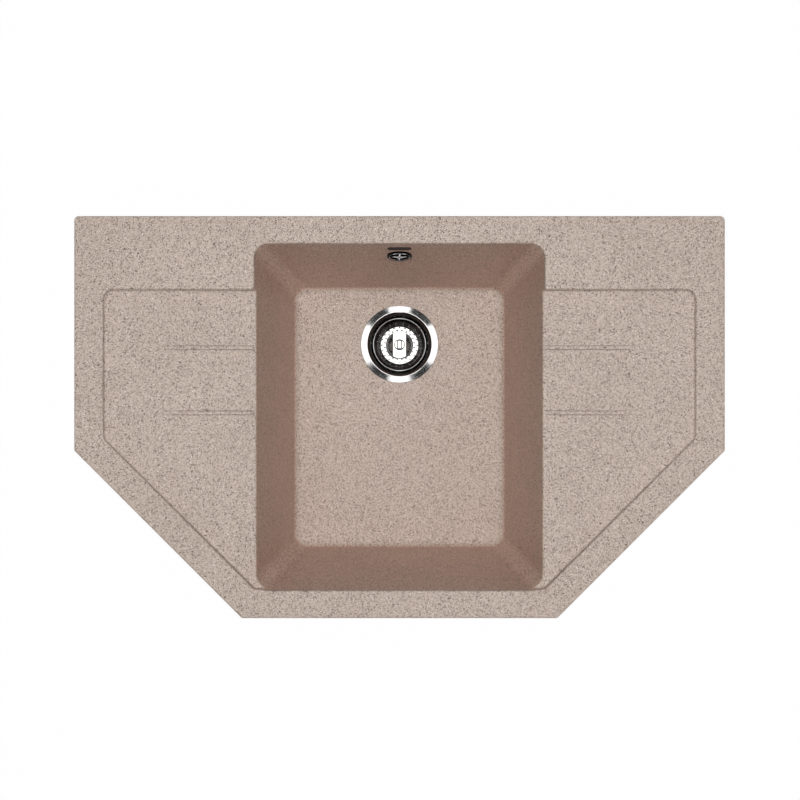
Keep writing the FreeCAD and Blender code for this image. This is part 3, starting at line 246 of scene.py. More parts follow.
LIGHT_TONES = [(0.0, 0.700, 0.630, 0.580), (1.0, 0.900, 0.850, 0.800)]
sand = colour_steps(stone_group, coarse_kind.outputs[0], SAND_TONES)
fine_sand = colour_steps(stone_group, fine_kind.outputs[0], SAND_TONES)
sand = blend_colour(stone_group, FINE_SHARE, sand, fine_sand)
dark_tone = colour_steps(stone_group, coarse_kind.outputs[0], DARK_TONES)
light_tone = colour_steps(stone_group, coarse_kind.outputs[0], LIGHT_TONES)
is_dark = math_node(stone_group, "LESS_THAN", coarse_kind.outputs[1], s_in.outputs["Dark share"])
light_from = math_node(stone_group, "SUBTRACT", 1.0, s_in.outputs["Light share"])
is_light = math_node(stone_group, "GREATER_THAN", coarse_kind.outputs[2], light_from)
fine_dark = math_node(stone_group, "LESS_THAN", fine_kind.outputs[1], s_in.outputs["Dark share"])
grains = blend_colour(stone_group, is_light, sand, light_tone)
fine_mask = product(stone_group, fine_dark, FINE_DARKENING)
grains = blend_colour(stone_group, fine_mask, grains, dark_tone)
grains = blend_colour(stone_group, is_dark, grains, dark_tone)
drift = noise(stone_group, place, 9.0, 4.0)
DRIFT_TONES = [(0.3, 0.965, 0.96, 0.955), (0.7, 1.03, 1.03, 1.03)]
drift_tone = colour_steps(stone_group, drift, DRIFT_TONES)
grains = blend_colour(stone_group, 1.0, grains, drift_tone, "MULTIPLY")
ripple = noise(stone_group, place, 2600.0, 2.0)
height = math_node(stone_group, "ADD", product(stone_group, coarse.outputs["Distance"], 0.5),
                   product(stone_group, ripple, 0.6))
any_dark = math_node(stone_group, "MAXIMUM", is_dark, fine_dark)
for name, socket in (("Colour", grains), ("Height", height), ("Dark", any_dark)):
    stone_group.links.new(socket, s_out.inputs[name])
print("stone grain group:", len(stone_group.nodes), "nodes")

# %% [markdown]
# ## The stone as a finish
# One material covers the whole moulding, and the differences between its faces are written
# into it. The upper side is honed smooth by the mould; the underside, which no one sees once
# the sink is fitted, is left coarser and duller. Warm bounce light is painted on the steep inner
# walls of the bowl, and shade is painted in a fine line at the foot of each rib. The ribs
# themselves are rubbed smoother by what is put down on them, and around the drain a thin film
# of limescale dries in patches.

# %% Masks for the bowl walls and the ribs
BOWL_EDGE = 0.1845             # half the width of the bowl's mouth
BOWL_BACK = 0.2205             # just behind the top of its back wall
EDGE_ROUNDING = 0.002
STEEPEST_LEVEL = 0.6           # a face is a wall where less of its normal points up or down
# The painted warm bounce light on the walls fades out between these heights, towards the rim.
BOUNCE_FADE_FROM, BOUNCE_FADE_TO = 0.004, 0.008
RIB_PLACES = (0.0884, 0.0054)
RIB_HALF_WIDTH = 0.0025
RIB_START = BOWL_EDGE + 0.001
RIB_END = BOWL_EDGE + 0.127
RIB_FADE = 0.035
CREASE_FROM, CREASE_TO = 0.0003, 0.0009


# The mask of the bowl walls, where warm bounce light is painted.
def bowl_wall(tree, place, normal):
    """1 on the inner walls of the bowl, which face the middle of the sink, and 0 elsewhere."""
    where = split(tree, place)
    upward = math_node(tree, "ABSOLUTE", split(tree, normal)["Z"])
    level_place = vector_math(tree, "MULTIPLY", place, (1.0, 1.0, 0.0)).outputs[0]
    turned_out = vector_math(tree, "DOT_PRODUCT", level_place, normal).outputs["Value"]
    sideways = math_node(tree, "ABSOLUTE", where["X"])
    return product(tree, math_node(tree, "LESS_THAN", upward, STEEPEST_LEVEL),
                   math_node(tree, "LESS_THAN", turned_out, 0.0),
                   math_node(tree, "LESS_THAN", sideways, BOWL_EDGE + EDGE_ROUNDING),
                   math_node(tree, "LESS_THAN", where["Y"], BOWL_BACK),
                   spread(tree, where["Z"], BOUNCE_FADE_FROM, BOUNCE_FADE_TO, 1.0, 0.0))


def rib_foot_shade(tree, place):
    """1 in the narrow corner at the foot of each rib, where shade is painted, fading out as the rib does."""
    where = split(tree, place)
    sideways = math_node(tree, "ABSOLUTE", where["X"])
    creases = 0.0
    for rib_y in RIB_PLACES:
        from_middle = math_node(tree, "ABSOLUTE", math_node(tree, "SUBTRACT", where["Y"], rib_y))
        from_foot = math_node(tree, "ABSOLUTE", math_node(tree, "SUBTRACT", from_middle, RIB_HALF_WIDTH))
        line = spread(tree, from_foot, CREASE_FROM, CREASE_TO, 1.0, 0.0)
        creases = math_node(tree, "MAXIMUM", creases, line)
    return product(tree, creases, math_node(tree, "GREATER_THAN", sideways, RIB_START),
                   spread(tree, sideways, RIB_END - RIB_FADE, RIB_END, 1.0, 0.0))


print("ribs end at %.4f" % RIB_END)

# %% Stone material
STONE_GRAINS = 1120.0
DARK_GRAINS, LIGHT_GRAINS = 0.085, 0.02
FILM_TONE = (0.72, 0.68, 0.64, 1.0)
UNDERSIDE_TONE = (0.30, 0.25, 0.22, 1.0)
# Warm bounce light painted on the bowl walls.
PAINTED_BOUNCE_TINT = (1.16, 1.01, 0.95, 1.0)
# Shade painted at the foot of each rib.
RIB_SHADE_TONE = (0.16, 0.115, 0.09, 1.0)
stone, tree, shader, place = new_material("Stone composite", Specular_IOR_Level=0.3)
grain = use_group(tree, stone_group, {"Place": place, "Grains per metre": STONE_GRAINS,
                                      "Dark share": DARK_GRAINS, "Light share": LIGHT_GRAINS})
normal = surface_normal(tree)
below = spread(tree, split(tree, normal)["Z"], -0.35, -0.02, 1.0, 0.0)
from_drain = vector_math(tree, "DISTANCE", place, tuple(DRAIN)).outputs["Value"]
film_noise = noise(tree, place, 38.0, 5.0, Distortion=0.4)
near_drain = spread(tree, from_drain, FLANGE_RADIUS, FLANGE_RADIUS * 2.2, 1.0, 0.0)
film = product(tree, near_drain, spread(tree, film_noise, 0.45, 0.75, 0.0, 0.5))
colour = blend_colour(tree, product(tree, film, 0.25), grain.outputs["Colour"], FILM_TONE)
colour = blend_colour(tree, product(tree, below, 0.35), colour, UNDERSIDE_TONE)
# Painted warm bounce light on the bowl walls, then painted shade at the foot of the ribs.
colour = blend_colour(tree, bowl_wall(tree, place, normal), colour, PAINTED_BOUNCE_TINT, "MULTIPLY")
colour = blend_colour(tree, product(tree, rib_foot_shade(tree, place), 0.55), colour, RIB_SHADE_TONE)
tree.links.new(colour, shader.inputs["Base Color"])
smooth = spread(tree, noise(tree, place, 60.0, 6.0), 0.3, 0.7, 0.40, 0.52)
rubbed = spread(tree, split(tree, place)["Z"], RIM_TOP - 0.0075, RIM_TOP - 0.0062, 0.0, -0.05)
roughness = math_node(tree, "ADD", smooth, product(tree, below, 0.3))
roughness = math_node(tree, "ADD", roughness, product(tree, film, 0.2))
roughness = math_node(tree, "ADD", roughness, product(tree, grain.outputs["Dark"], -0.12))
roughness = math_node(tree, "ADD", roughness, rubbed)
tree.links.new(roughness, shader.inputs["Roughness"])
rough_cast = product(tree, noise(tree, place, 420.0, 3.0), below, 4.0)
bump_from(tree, shader, math_node(tree, "ADD", grain.outputs["Height"], rough_cast), 0.00012, 0.55)
print("stone:", len(tree.nodes), "nodes")

# %% [markdown]
# ## Fine lines and handling marks
# Three effects come back on many pieces. Metal that was turned or spun keeps fine rings round
# its axis, which a noise that only reads the distance from that axis gives. Metal that was
# rolled and handled keeps hairlines in all directions, which are noises stretched very long.
# Moulded plastic and rubber have a fine even grain and a few scuffs. Each is a group, so
# every material places it with its own numbers.

# %% Turned rings group
rings_group, r_in, r_out = new_group(
    "Turned rings", [("Place", "Vector"), ("Axis at", "Vector"), ("Lines per metre", "Float", 4000.0)],
    [("Height", "Float"), ("Sheen", "Float")])
offset = vector_math(rings_group, "SUBTRACT", r_in.outputs["Place"], r_in.outputs["Axis at"])
parts_of = split(rings_group, offset.outputs[0])
flat = put(rings_group, "ShaderNodeCombineXYZ", {0: parts_of["X"], 1: parts_of["Y"], 2: 0.0})
radius = vector_math(rings_group, "LENGTH", flat.outputs[0])
along_cone = math_node(rings_group, "ADD", radius.outputs["Value"], product(rings_group, parts_of["Z"], 0.35))
line_place = product(rings_group, along_cone, r_in.outputs["Lines per metre"])
lines = put(rings_group, "ShaderNodeTexNoise", {"W": line_place, "Scale": 1.0, "Detail": 3.0},
            noise_dimensions="1D")
broad = put(rings_group, "ShaderNodeTexNoise",
            {"W": product(rings_group, line_place, 0.11), "Scale": 1.0, "Detail": 2.0},
            noise_dimensions="1D")
rings_group.links.new(lines.outputs[0], r_out.inputs["Height"])
rings_group.links.new(broad.outputs[0], r_out.inputs["Sheen"])
print("turned rings group:", len(rings_group.nodes), "nodes")

# %% Hairlines group
hair_group, h_in, h_out = new_group(
    "Hairlines", [("Place", "Vector"), ("Scale", "Float", 90.0)],
    [("Height", "Float"), ("Smudge", "Float")])
hair_place = h_in.outputs["Place"]
hair = 0.0
for turn, squeeze in ((0.4, 22.0), (1.5, 30.0), (2.6, 26.0)):
    turned = put(hair_group, "ShaderNodeMapping", {
        "Vector": hair_place, "Rotation": (0.3, 0.2, turn), "Scale": (1.0, squeeze, squeeze * 0.6)})
    stroke = noise(hair_group, turned.outputs[0], h_in.outputs["Scale"], 4.0, Roughness=0.7)
    hair = math_node(hair_group, "MAXIMUM", hair, spread(hair_group, stroke, 0.60, 0.72, 0.0, 1.0))
smudge = noise(hair_group, hair_place, 70.0, 3.0, Distortion=0.8)
hair_group.links.new(hair, h_out.inputs["Height"])
hair_group.links.new(spread(hair_group, smudge, 0.42, 0.68, 0.0, 1.0), h_out.inputs["Smudge"])
print("hairlines group:", len(hair_group.nodes), "nodes")

# %% Moulded grain group
mould_group, m_in, m_out = new_group(
    "Moulded grain",
    [("Place", "Vector"), ("Grain scale", "Float", 1800.0), ("Tint", "Color"), ("Scuff tint", "Color")],
    [("Colour", "Color"), ("Height", "Float"), ("Scuffs", "Float")])
mould_place = m_in.outputs["Place"]
skin = noise(mould_group, mould_place, m_in.outputs["Grain scale"], 3.0)
cloud = noise(mould_group, mould_place, 26.0, 3.0)
scuff_place = put(mould_group, "ShaderNodeMapping", {
    "Vector": mould_place, "Rotation": (0.5, 0.9, 0.3), "Scale": (1.0, 9.0, 5.0)})
scuff = noise(mould_group, scuff_place.outputs[0], 60.0, 5.0, Roughness=0.75)
scuffs = spread(mould_group, scuff, 0.60, 0.74, 0.0, 1.0)
cloud_tone = colour_steps(mould_group, cloud, [(0.3, 0.90, 0.90, 0.90), (0.7, 1.0, 1.0, 1.0)])
toned = blend_colour(mould_group, 1.0, m_in.outputs["Tint"], cloud_tone, "MULTIPLY")
toned = blend_colour(mould_group, product(mould_group, scuffs, 0.5), toned, m_in.outputs["Scuff tint"])
for name, socket in (("Colour", toned), ("Height", skin), ("Scuffs", scuffs)):
    mould_group.links.new(socket, m_out.inputs[name])
print("moulded grain group:", len(mould_group.nodes), "nodes")

# %% [markdown]
# ## Painted shade on the drain and the overflow
# Shade is painted into bright metal where the drain looks dark from above: round the knob's
# bar, along the turned edge of the knob and, less, as painted dark reflection on the cones of
# basket and cup. Each place is found from its distance to the drain's axis. Two steels need
# this mask, so it is a group; which way a face looks is read in the material and handed in.
# Shade is also painted on the overflow cover, behind its face, on its outer edge and beside its
# thin bars, and on the inside of the elbow behind it.

# %% Sizes of the drain and the overflow
knob_low, knob_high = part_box("basket_knob")
KNOB_RADIUS = (knob_high.x - knob_low.x) / 2
KNOB_BAR_HALF_WIDTH, KNOB_BAR_HALF_LENGTH = 0.003, 0.006
KNOB_EDGE = 0.0016             # how far the turned edge reaches in from the rim of the knob
CORNER = 0.0008                # how far painted shade reaches out from the bar
# Bands on the cones of basket and cup where shade and dark reflection are painted.
BASKET_CONE = (0.0282, 0.0375)
CUP_CONE = (0.0396, 0.0472)
CONE_SHADE_SHARE = 0.8
WALL_LEAN = math.radians(9.52)
WALL_OUTWARD = (0.0, math.cos(WALL_LEAN), -math.sin(WALL_LEAN))
COVER_THICKNESS = 0.0026
COVER_BAR, COVER_FIELD, COVER_EDGE = 0.0009, 0.0139, 0.0152
ELBOW_CHAMBER_RADIUS = 0.0155
ELBOW_WALL = 0.0022
rosette_low, rosette_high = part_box("overflow_rosette")
rosette_axis = tuple((rosette_low + rosette_high) / 2)


def depth_range(name):
    """How far a solid reaches along the outward direction of the back wall."""
    outward = Vector(WALL_OUTWARD)
    along = [outward.dot(corner.co) for corner in nodes[name].data.vertices]
    return min(along), max(along)


COVER_SEAT = depth_range("overflow_rosette")[0] + COVER_THICKNESS
ELBOW_BACK = depth_range("overflow_elbow")[1]
print("knob radius %.4f, cover seat %.4f, elbow back %.4f" % (KNOB_RADIUS, COVER_SEAT, ELBOW_BACK))

# %% Drain painted shade group
drain_shade_group, d_in, d_out = new_group(
    "Drain painted shade", [("Place", "Vector"), ("Upward", "Float", 1.0)], [("Mask", "Float")])


# The band where shade is painted on one cone.
def cone_shade_band(radius, inner, outer, soften_in, soften_out):
    """1 between two radii of the drain, with soft borders inside them."""
    return product(drain_shade_group, spread(drain_shade_group, radius, inner, inner + soften_in, 0.0, 1.0),
                   spread(drain_shade_group, radius, outer - soften_out, outer, 1.0, 0.0))


from_knob = vector_math(drain_shade_group, "SUBTRACT", d_in.outputs["Place"], tuple(DRAIN)).outputs[0]
side = split(drain_shade_group, vector_math(drain_shade_group, "ABSOLUTE", from_knob).outputs[0])
radius = math_node(drain_shade_group, "SQRT", math_node(drain_shade_group, "ADD", product(drain_shade_group, side["X"], side["X"]),
                                                 product(drain_shade_group, side["Y"], side["Y"])))
past_bar = math_node(drain_shade_group, "MAXIMUM",
                     math_node(drain_shade_group, "SUBTRACT", side["X"], KNOB_BAR_HALF_WIDTH),
                     math_node(drain_shade_group, "SUBTRACT", side["Y"], KNOB_BAR_HALF_LENGTH))
corner = product(drain_shade_group, math_node(drain_shade_group, "GREATER_THAN", past_bar, -CORNER / 2),
                 spread(drain_shade_group, past_bar, CORNER, CORNER * 1.5, 1.0, 0.0))
edge = spread(drain_shade_group, radius, KNOB_RADIUS - KNOB_EDGE, KNOB_RADIUS - KNOB_EDGE * 0.75, 0.0, 1.0)
creases = product(drain_shade_group, math_node(drain_shade_group, "MAXIMUM", corner, edge),
                  math_node(drain_shade_group, "LESS_THAN", radius, KNOB_RADIUS),
                  math_node(drain_shade_group, "GREATER_THAN", d_in.outputs["Upward"], 0.5))
cone_shades = math_node(drain_shade_group, "MAXIMUM", cone_shade_band(radius, *BASKET_CONE, 0.0010, 0.0005),
                  cone_shade_band(radius, *CUP_CONE, 0.0006, 0.0008))
mask = math_node(drain_shade_group, "MAXIMUM", creases, product(drain_shade_group, cone_shades, CONE_SHADE_SHARE))
drain_shade_group.links.new(mask, d_out.inputs["Mask"])
print("drain soot group:", len(drain_shade_group.nodes), "nodes")


# %% Dark places as masks
# Painted shade on the drain steels.
def painted_drain_shade(tree, place):
    upward = split(tree, surface_normal(tree))["Z"]
    return use_group(tree, drain_shade_group, {"Place": place, "Upward": upward}).outputs["Mask"]


def wall_depth(tree, place):
    return vector_math(tree, "DOT_PRODUCT", place, WALL_OUTWARD).outputs["Value"]


def painted_cover_shade(tree, place):
    """1 where shade is painted on the cover: behind its face, on its outer edge and beside its thin bars."""
    behind = spread(tree, wall_depth(tree, place), COVER_SEAT - 0.0006, COVER_SEAT - 0.0001, 0.0, 1.0)
    offset = vector_math(tree, "SUBTRACT", place, rosette_axis).outputs[0]
    radius = vector_math(tree, "LENGTH", offset).outputs["Value"]
    side = split(tree, vector_math(tree, "ABSOLUTE", offset).outputs[0])
    off_bars = math_node(tree, "MINIMUM", side["X"], side["Z"])
    field = product(tree, spread(tree, off_bars, COVER_BAR, COVER_BAR + 0.0003, 0.0, 1.0),
                    spread(tree, radius, COVER_FIELD, COVER_FIELD + 0.0003, 1.0, 0.0))
    edge = spread(tree, radius, COVER_EDGE, COVER_EDGE + 0.0003, 0.0, 1.0)
    return math_node(tree, "MAXIMUM", behind, math_node(tree, "MAXIMUM", field, edge))


def painted_elbow_shade(tree, place):
    """1 on the inner wall of the overflow elbow, where shade is painted."""
    offset = vector_math(tree, "SUBTRACT", place, rosette_axis).outputs[0]
    along = wall_depth(tree, offset)
    on_axis = put(tree, "ShaderNodeVectorMath", {0: WALL_OUTWARD, "Scale": along}, operation="SCALE")
    radius = vector_math(tree, "DISTANCE", offset, on_axis.outputs[0]).outputs["Value"]
    within = spread(tree, radius, ELBOW_CHAMBER_RADIUS + 0.0002, ELBOW_CHAMBER_RADIUS + 0.0008, 1.0, 0.0)
    before_back = math_node(tree, "LESS_THAN", wall_depth(tree, place), ELBOW_BACK - ELBOW_WALL / 2)
    return product(tree, within, before_back)


print("masks ready")

# %% [markdown]
# ## Metals
# The drain flange and the knob are polished until they mirror the room, so what makes them
# look like metal is mostly what they reflect; rings and hairlines only soften it. A bump that
# rises towards the flange's edge flattens its look, so that it mirrors the lamps and not the
# wall of the bowl. The basket is pressed from thinner sheet and less polished; the lips of its
# holes get a brighter steel, a painted highlight that stands in for their glints. The overflow
# cover is chrome on plastic, the inserts are brass, and the clamps are zinc plated steel, which
# grows a faint flowery pattern of blue and yellow as it is passivated.

# %% Polished and satin metals
RELIEF_UNIT = 0.00001          # metres, the bump that a height of 1 stands for
FLANGE_CROWN = 0.0485
FLANGE_FLATTENING = math.radians(3.5)
# The colour of painted shade and dark reflection.
PAINTED_SHADE_TONE = (0.012, 0.012, 0.013, 1.0)


def flattened_flange(tree, place):
    """A height that rises from the crown of the flange to its edge."""
    level_place = vector_math(tree, "MULTIPLY", place, (1.0, 1.0, 0.0)).outputs[0]
    radius = vector_math(tree, "DISTANCE", level_place, drain_axis).outputs["Value"]
    lift = (FLANGE_RADIUS - FLANGE_CROWN) * math.tan(FLANGE_FLATTENING)
    return spread(tree, radius, FLANGE_CROWN, FLANGE_RADIUS, 0.0, lift / RELIEF_UNIT)


def polished(name, grey, roughness, axis, ring_lines, depths, painted_shade_mask=None, rise=None):
    """Metal that mirrors; the mask of dark places paints shade and dark reflection, and rise an extra height.
    """
    material, tree, shader, place = new_material(name, Metallic=1.0)
    rings = use_group(tree, rings_group, {"Place": place, "Axis at": axis, "Lines per metre": ring_lines})
    hairs = use_group(tree, hair_group, {"Place": place, "Scale": 90.0})
    tone = blend_colour(tree, hairs.outputs["Smudge"], grey + (1.0,), tuple(c * 0.93 for c in grey) + (1.0,))
    if painted_shade_mask:
        tone = blend_colour(tree, painted_shade_mask(tree, place), tone, PAINTED_SHADE_TONE)
    tree.links.new(tone, shader.inputs["Base Color"])
    rough = spread(tree, rings.outputs["Sheen"], 0.3, 0.7, roughness * 0.8, roughness * 1.3)
    rough = math_node(tree, "ADD", rough, product(tree, hairs.outputs["Smudge"], roughness * 0.5))
    rough = math_node(tree, "ADD", rough, product(tree, hairs.outputs["Height"], 0.10))
    tree.links.new(rough, shader.inputs["Roughness"])
    ring_depth, hair_depth = depths
    relief = math_node(tree, "ADD", product(tree, rings.outputs["Height"], ring_depth),
                       product(tree, hairs.outputs["Height"], -hair_depth))
    if rise:
        relief = math_node(tree, "ADD", relief, rise(tree, place))
    bump_from(tree, shader, relief, RELIEF_UNIT)
    print("%s: %d nodes" % (name, len(tree.nodes)))
    return material


drain_axis = (DRAIN.x, DRAIN.y, 0.0)
# The drain steels and the chrome cover get painted shade from their masks.
polished_steel = polished("Polished steel", (0.66, 0.65, 0.64), 0.06, drain_axis, 2600.0, (0.2, 0.1),
                          painted_drain_shade, flattened_flange)
satin_steel = polished("Satin steel", (0.54, 0.53, 0.52), 0.10, drain_axis, 3800.0, (0.4, 0.2), painted_drain_shade)
# A brighter copy of the basket's steel: a painted highlight that stands in for the lips' glints.
glint_lip_steel = polished("Steel lips with painted glint", (0.80, 0.79, 0.78), 0.12, drain_axis, 3800.0, (0.2, 0.2))
chrome = polished("Chrome plate", (0.90, 0.90, 0.91), 0.05, rosette_axis, 900.0, (0.1, 0.1), painted_cover_shade)


# %% Brass and zinc
def plated(name, tints, roughness, pattern_scale):
    """Metal whose tint wanders between a few colours in soft patches, with hairlines."""
    material, tree, shader, place = new_material(name, Metallic=1.0)
    patch = put(tree, "ShaderNodeTexVoronoi", {"Vector": place, "Scale": pattern_scale}, feature="SMOOTH_F1")
    warp = noise(tree, place, pattern_scale * 0.4, 4.0)
    mixed = math_node(tree, "ADD", product(tree, patch.outputs["Distance"], 0.5),
                      product(tree, warp, 0.7))
    tone = colour_steps(tree, mixed, tints)
    hairs = use_group(tree, hair_group, {"Place": place, "Scale": 160.0})
    dulled = blend_colour(tree, product(tree, hairs.outputs["Smudge"], 0.25), tone, (0.30, 0.29, 0.27, 1.0))
    tree.links.new(dulled, shader.inputs["Base Color"])
    rough = spread(tree, warp, 0.3, 0.7, roughness * 0.8, roughness * 1.25)
    rough = math_node(tree, "ADD", rough, product(tree, hairs.outputs["Height"], 0.12))
    tree.links.new(rough, shader.inputs["Roughness"])
    bump_from(tree, shader, product(tree, hairs.outputs["Height"], -0.6), 0.00002, 0.8)
    print("%s: %d nodes" % (name, len(tree.nodes)))
    return material


BRASS_TINTS = [(0.3, 0.66, 0.46, 0.19), (0.5, 0.78, 0.58, 0.28), (0.8, 0.58, 0.38, 0.17)]
ZINC_TINTS = [(0.25, 0.56, 0.58, 0.60), (0.5, 0.66, 0.66, 0.62), (0.8, 0.60, 0.55, 0.42)]
DARKER_ZINC_TINTS = [(0.25, 0.50, 0.52, 0.55), (0.5, 0.62, 0.62, 0.59), (0.8, 0.56, 0.52, 0.42)]
brass = plated("Turned brass", BRASS_TINTS, 0.26, 240.0)
zinc_sheet = plated("Zinc plated sheet", ZINC_TINTS, 0.34, 150.0)
zinc_thread = plated("Zinc plated thread", DARKER_ZINC_TINTS, 0.30, 320.0)

# %% [markdown]
# ## Plastics, rubber and foam
# The waste parts are moulded polypropylene with a soft sheen; the gaskets are black rubber,
# dusted from handling; the tape under the rim is closed-cell foam, whose cells show as tiny
# dimples, with shade painted in their hollows. The little plate above the overflow is dark and
# dull. Shade is painted on the inside of the overflow elbow, which is what shows through the
# cover's openings.

# %% Moulded materials
# The colour of the painted shade inside the overflow elbow.
ELBOW_SHADE_TONE = (0.016, 0.014, 0.012, 1.0)


def moulded(name, tint, scuff_tint, roughness, grain_scale, depth, painted_inside_shade=None, **shader_values):
    material, tree, shader, place = new_material(name, **shader_values)
    grain = use_group(tree, mould_group, {"Place": place, "Grain scale": grain_scale,
                                          "Tint": tint + (1.0,), "Scuff tint": scuff_tint + (1.0,)})
    tone = grain.outputs["Colour"]
    if painted_inside_shade:
        tone = blend_colour(tree, painted_inside_shade(tree, place), tone, ELBOW_SHADE_TONE)
    tree.links.new(tone, shader.inputs["Base Color"])
    rough = spread(tree, grain.outputs["Height"], 0.3, 0.7, roughness - 0.06, roughness + 0.06)
    rough = math_node(tree, "ADD", rough, product(tree, grain.outputs["Scuffs"], 0.15))
    tree.links.new(rough, shader.inputs["Roughness"])
    bump_from(tree, shader, grain.outputs["Height"], depth, 0.6)
    print("%s: %d nodes" % (name, len(tree.nodes)))
    return material


# Shade is painted on the inside of the overflow elbow.
waste_plastic = moulded("White waste moulding", (0.78, 0.78, 0.75), (0.62, 0.61, 0.58), 0.38, 1500.0, 0.00003,
                        painted_elbow_shade)
pipe_plastic = moulded("Grey pipe moulding", (0.36, 0.37, 0.38), (0.52, 0.52, 0.52), 0.42, 1500.0, 0.00003)
nut_plastic = moulded("Black nut moulding", (0.035, 0.035, 0.037), (0.16, 0.16, 0.16), 0.36, 1800.0, 0.00004)
grey_plate = moulded("Dark plate", (0.052, 0.042, 0.046), (0.10, 0.09, 0.09), 0.50, 2400.0, 0.00001,
                     Specular_IOR_Level=0.2)
black_rubber = moulded("Black rubber", (0.018, 0.018, 0.018), (0.10, 0.10, 0.095), 0.62, 900.0, 0.00006)

# %% Foam tape
foam, tree, shader, place = new_material("Foam tape", Specular_IOR_Level=0.3)
cells = put(tree, "ShaderNodeTexVoronoi", {"Vector": place, "Scale": 1400.0}, feature="SMOOTH_F1")
# Black foam, painted darker at the bottom of each cell's dimple: painted shade in the hollows.
FOAM_DIMPLE_SHADE_TONES = [(0.0, 0.020, 0.020, 0.022), (0.6, 0.060, 0.060, 0.064)]
foam_tone_shaded = colour_steps(tree, cells.outputs["Distance"], FOAM_DIMPLE_SHADE_TONES)
tree.links.new(foam_tone_shaded, shader.inputs["Base Color"])
tree.links.new(spread(tree, cells.outputs["Distance"], 0.0, 0.6, 0.95, 0.75), shader.inputs["Roughness"])
bump_from(tree, shader, cells.outputs["Distance"], 0.00025, 0.8)
print("foam tape:", len(tree.nodes), "nodes")

# %% [markdown]
# ## Dressing the solids
# The record names a material slot for every solid. Going by slot rather than by piece keeps
# the two lists from disagreeing.

# %% Give every solid its finish
FINISH_OF_SLOT = {
    "composite": stone, "polished_steel": polished_steel, "satin_steel": satin_steel,
    "chrome_plate": chrome, "grey_plate": grey_plate, "waste_plastic": waste_plastic,
    "pipe_plastic": pipe_plastic, "nut_plastic": nut_plastic, "black_rubber": black_rubber,
    "foam_tape": foam, "brass": brass, "zinc_steel": zinc_sheet, "zinc_bolts": zinc_thread,
}
slot_of = {row["node"]: row["material_slot"] for row in frame["record"]["subparts"]}
for name, solid in nodes.items():
    solid.data.materials.clear()
    solid.data.materials.append(FINISH_OF_SLOT[slot_of[name]])
print("dressed", len(nodes), "solids with", len({slot_of[n] for n in nodes}), "finishes")

# %% [markdown]
# ## Threads
# A stud's thread is one ridge that winds up the rod. It could be modelled as a spiral curve
# with a small profile swept along it, but the two ends of such a sweep stay open inside the
# rod. Here Geometry Nodes bend a flat grid into the rod itself: the grid's long side becomes
# the height, its short side the turn, and the radius rises and falls with height minus turn,
# so the ridge closes on itself after every turn. Both ends of the grid shrink to a point, and
# merging the doubled points leaves one closed skin. Points at the six clamp places then carry
# one such rod each.

# %% Geometry node helpers
def new_tree(name, inputs):
    """An empty geometry tree with named inputs and one geometry output."""
    tree = bpy.data.node_groups.new(name, "GeometryNodeTree")
    tree.interface.new_socket("Geometry", in_out="OUTPUT", socket_type="NodeSocketGeometry")
    for socket_name, kind, default in inputs:
        socket = tree.interface.new_socket(socket_name, in_out="INPUT", socket_type="NodeSocket" + kind)
        if default is not None:
            socket.default_value = default
    return tree, tree.nodes.new("NodeGroupInput"), tree.nodes.new("NodeGroupOutput")


def finish_tree(tree, geometry, material_socket, out):
    real = put(tree, "GeometryNodeRealizeInstances", {0: geometry})
    coated = put(tree, "GeometryNodeSetMaterial", {"Geometry": real.outputs[0], "Material": material_socket})
    tree.links.new(coated.outputs[0], out.inputs[0])


def mesh_from(tree, name, values, source=None):
    """A plain mesh object made by the tree with these input values."""
    carrier = bpy.data.objects.new("carrier", source or bpy.data.meshes.new("empty"))
    bpy.context.scene.collection.objects.link(carrier)
    modifier = carrier.modifiers.new("maker", "NODES")
    modifier.node_group = tree
    identifiers = {item.name: item.identifier for item in tree.interface.items_tree
                   if item.item_type == "SOCKET" and item.in_out == "INPUT"}
    for key, value in values.items():
        modifier[identifiers[key]] = value
    graph = bpy.context.evaluated_depsgraph_get()
    graph.update()
    mesh = bpy.data.meshes.new_from_object(carrier.evaluated_get(graph))
    bpy.data.objects.remove(carrier)
    mesh.name = name
    piece = bpy.data.objects.new(name, mesh)
    bpy.context.scene.collection.objects.link(piece)
    print("%s: %d faces" % (name, len(mesh.polygons)))
    return piece


print("geometry node helpers ready")

# %% A threaded rod that bends from a grid
rod_tree, g_in, g_out = new_tree("Threaded rods", [
    ("Places", "Geometry", None), ("Radius", "Float", 0.003), ("Depth", "Float", 0.0004),
    ("Pitch", "Float", 0.001), ("Length", "Float", 0.08), ("Bevel", "Float", 0.0008),
    ("Sides", "Int", 20), ("Steps per turn", "Int", 5), ("Material", "Material", None)])
turns = math_node(rod_tree, "DIVIDE", g_in.outputs["Length"], g_in.outputs["Pitch"])
rows = math_node(rod_tree, "MULTIPLY", turns, g_in.outputs["Steps per turn"])
columns = math_node(rod_tree, "ADD", g_in.outputs["Sides"], 1.0)
grid = put(rod_tree, "GeometryNodeMeshGrid", {"Size X": 1.0, "Size Y": 1.0, "Vertices X": columns,
                                              "Vertices Y": rows})
at = put(rod_tree, "ShaderNodeSeparateXYZ", {0: put(rod_tree, "GeometryNodeInputPosition").outputs[0]})
around = math_node(rod_tree, "ADD", at.outputs["X"], 0.5)
along = math_node(rod_tree, "ADD", at.outputs["Y"], 0.5)
z = math_node(rod_tree, "MULTIPLY", along, g_in.outputs["Length"])
phase = math_node(rod_tree, "SUBTRACT", math_node(rod_tree, "DIVIDE", z, g_in.outputs["Pitch"]), around)
ridge = math_node(rod_tree, "PINGPONG", math_node(rod_tree, "MULTIPLY", phase, 2.0), 1.0)
cut = math_node(rod_tree, "MULTIPLY", math_node(rod_tree, "SUBTRACT", 1.0, ridge), g_in.outputs["Depth"])
